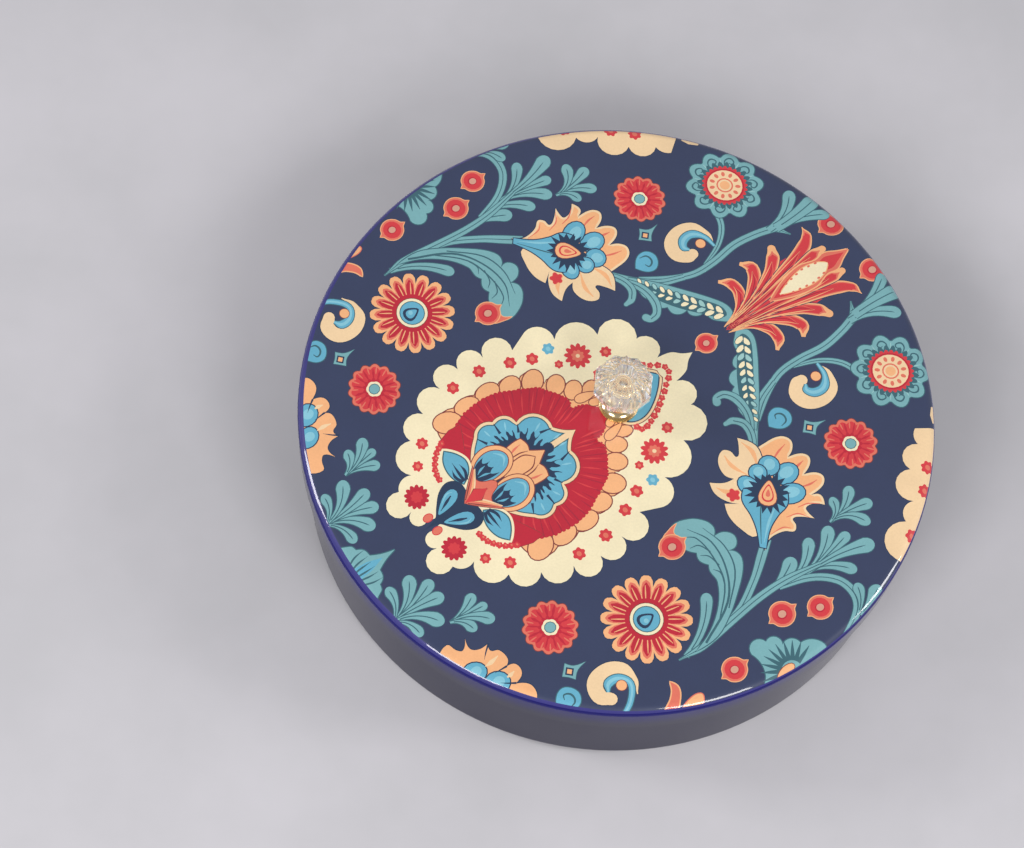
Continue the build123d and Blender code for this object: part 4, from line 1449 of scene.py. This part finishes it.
class SPICEBOX_OT_knob(bpy.types.Operator):
    """Gives the knob its crystal, its brass foot and bush, and its steel screw and washer"""

    bl_idname = "spicebox.knob"
    bl_label = "Knob"

    def execute(self, context):
        self.cut_crystal()
        brass = brass_material()
        dress("knob_foot", brass)
        self.turned_bush(brass)
        zinc = steel_material("Bright zinc plate", (0, 0, 0))
        for node in ("knob_screw", "knob_washer"):
            dress(node, zinc)
        return {"FINISHED"}

    def turned_bush(self, brass):
        """The brass bush in the crystal: a grooved top with a countersunk hole, where the screw ends."""
        low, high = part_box("knob_bush")
        far = (high.x - low.x) / 2 / MM
        tall = (high.z - low.z) / MM
        profile = [(0, 0), (far, 0), (far, tall - BUSH_CHAMFER), (far - BUSH_CHAMFER, tall)]
        profile += [(x, tall - drop) for x, drop in BUSH_TOP]
        bm = bmesh.new()
        points = [bm.verts.new((x * MM, 0, low.z + z * MM)) for x, z in profile]
        edges = [bm.edges.new(pair) for pair in zip(points, points[1:])]
        bmesh.ops.spin(
            bm,
            geom=points + edges,
            cent=(0, 0, 0),
            axis=(0, 0, 1),
            angle=math.tau,
            steps=BUSH_STEPS,
            use_merge=True,
        )
        bmesh.ops.remove_doubles(bm, verts=bm.verts, dist=0.001 * MM)
        bmesh.ops.recalc_face_normals(bm, faces=bm.faces)
        bush = new_piece("knob_grooved_bush", bm, brass)
        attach(bush, "lid")
        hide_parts("knob_bush")

    def cut_crystal(self):
        """An eight-sided head with a fluted back, which shows as rays through its star-cut top."""
        low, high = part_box("knob_glass")
        half_side = math.pi / CRYSTAL_SIDES
        corner = (high.x - low.x) / 2 / math.cos(half_side)

        def at_level(co, height, size, roundness, flute, turned):
            """Where a vertex goes on a level: between a circle and eight sides, every second one set in."""
            i = round(math.atan2(co.y, co.x) / math.tau * CRYSTAL_POINTS) % CRYSTAL_POINTS
            a = math.tau * i / CRYSTAL_POINTS
            far = corner * size
            from_corner = (a + (0 if turned else half_side)) % (2 * half_side) - half_side
            sided = far * math.cos(half_side) / math.cos(from_corner)
            far = far * roundness + sided * (1 - roundness)
            far *= 1 - (flute if i % 2 else 0)
            return (far * math.cos(a), far * math.sin(a), low.z + height * MM)

        bm = bmesh.new()
        foot = bmesh.ops.create_circle(bm, cap_ends=False, segments=CRYSTAL_POINTS, radius=corner)["verts"]
        bottom = edges = list({e for v in foot for e in v.link_edges})
        for vert in foot:
            vert.co = at_level(vert.co, *CRYSTAL_LEVELS[0])
        for level in CRYSTAL_LEVELS[1:]:
            edges = extrude_ring(bm, edges, lambda co: at_level(co, *level))
        bmesh.ops.contextual_create(bm, geom=edges)
        # The bore that holds the bush, closed at its top.
        for height in (CRYSTAL_SEAT, BORE_TOP):
            z = low.z + height * MM
            bottom = extrude_ring(bm, bottom, lambda co: (*(co.xy.normalized() * BORE_RADIUS * MM), z))
        bmesh.ops.contextual_create(bm, geom=bottom)
        bmesh.ops.recalc_face_normals(bm, faces=bm.faces)
        crystal = new_piece("knob_crystal", bm, glass_material())
        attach(crystal, "lid")
        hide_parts("knob_glass")


class SPICEBOX_OT_cups(bpy.types.Operator):
    """Gives the seven cups their spun steel"""

    bl_idname = "spicebox.cups"
    bl_label = "Cups"

    def execute(self, context):
        for node in [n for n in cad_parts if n.startswith("cup_")]:
            low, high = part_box(node)
            middle = ((low.x + high.x) / 2, (low.y + high.y) / 2, 0.0)
            dress(node, steel_material("Spun stainless steel, " + node.replace("_", " "), middle))
        return {"FINISHED"}


class SPICEBOX_OT_spoon(bpy.types.Operator):
    """Gives the spoon its brushed steel"""

    bl_idname = "spicebox.spoon"
    bl_label = "Spoon"

    def execute(self, context):
        dress("spoon", steel_material("Brushed stainless steel", (0, 0, 0), length_wise=True))
        return {"FINISHED"}


OPERATORS = (
    SPICEBOX_OT_stage,
    SPICEBOX_OT_tub,
    SPICEBOX_OT_lid,
    SPICEBOX_OT_print,
    SPICEBOX_OT_knob,
    SPICEBOX_OT_cups,
    SPICEBOX_OT_spoon,
)


class SPICEBOX_PT_panel(bpy.types.Panel):
    """Lists the steps that build the spice box"""

    bl_label = "Spice Box"
    bl_space_type = "VIEW_3D"
    bl_region_type = "UI"
    bl_category = "Spice Box"

    def draw(self, context):
        column = self.layout.column()
        for group in (context.scene.spicebox_sizes, context.scene.spicebox_colours):
            for name in group.bl_rna.properties.keys():
                if name not in ("rna_type", "name"):
                    column.prop(group, name)
        for step in OPERATORS:
            column.operator(step.bl_idname)


CLASSES = (SpiceBoxSizes, SpiceBoxColours, *OPERATORS, SPICEBOX_PT_panel)


def register():
    for cls in CLASSES:
        bpy.utils.register_class(cls)
    bpy.types.Scene.spicebox_sizes = PointerProperty(type=SpiceBoxSizes)
    bpy.types.Scene.spicebox_colours = PointerProperty(type=SpiceBoxColours)


def unregister():
    del bpy.types.Scene.spicebox_colours
    del bpy.types.Scene.spicebox_sizes
    for cls in reversed(CLASSES):
        bpy.utils.unregister_class(cls)


def main():
    register()
    for step in OPERATORS:
        group, name = step.bl_idname.split(".")
        getattr(getattr(bpy.ops, group), name)()


if __name__ == "__main__":
    main()
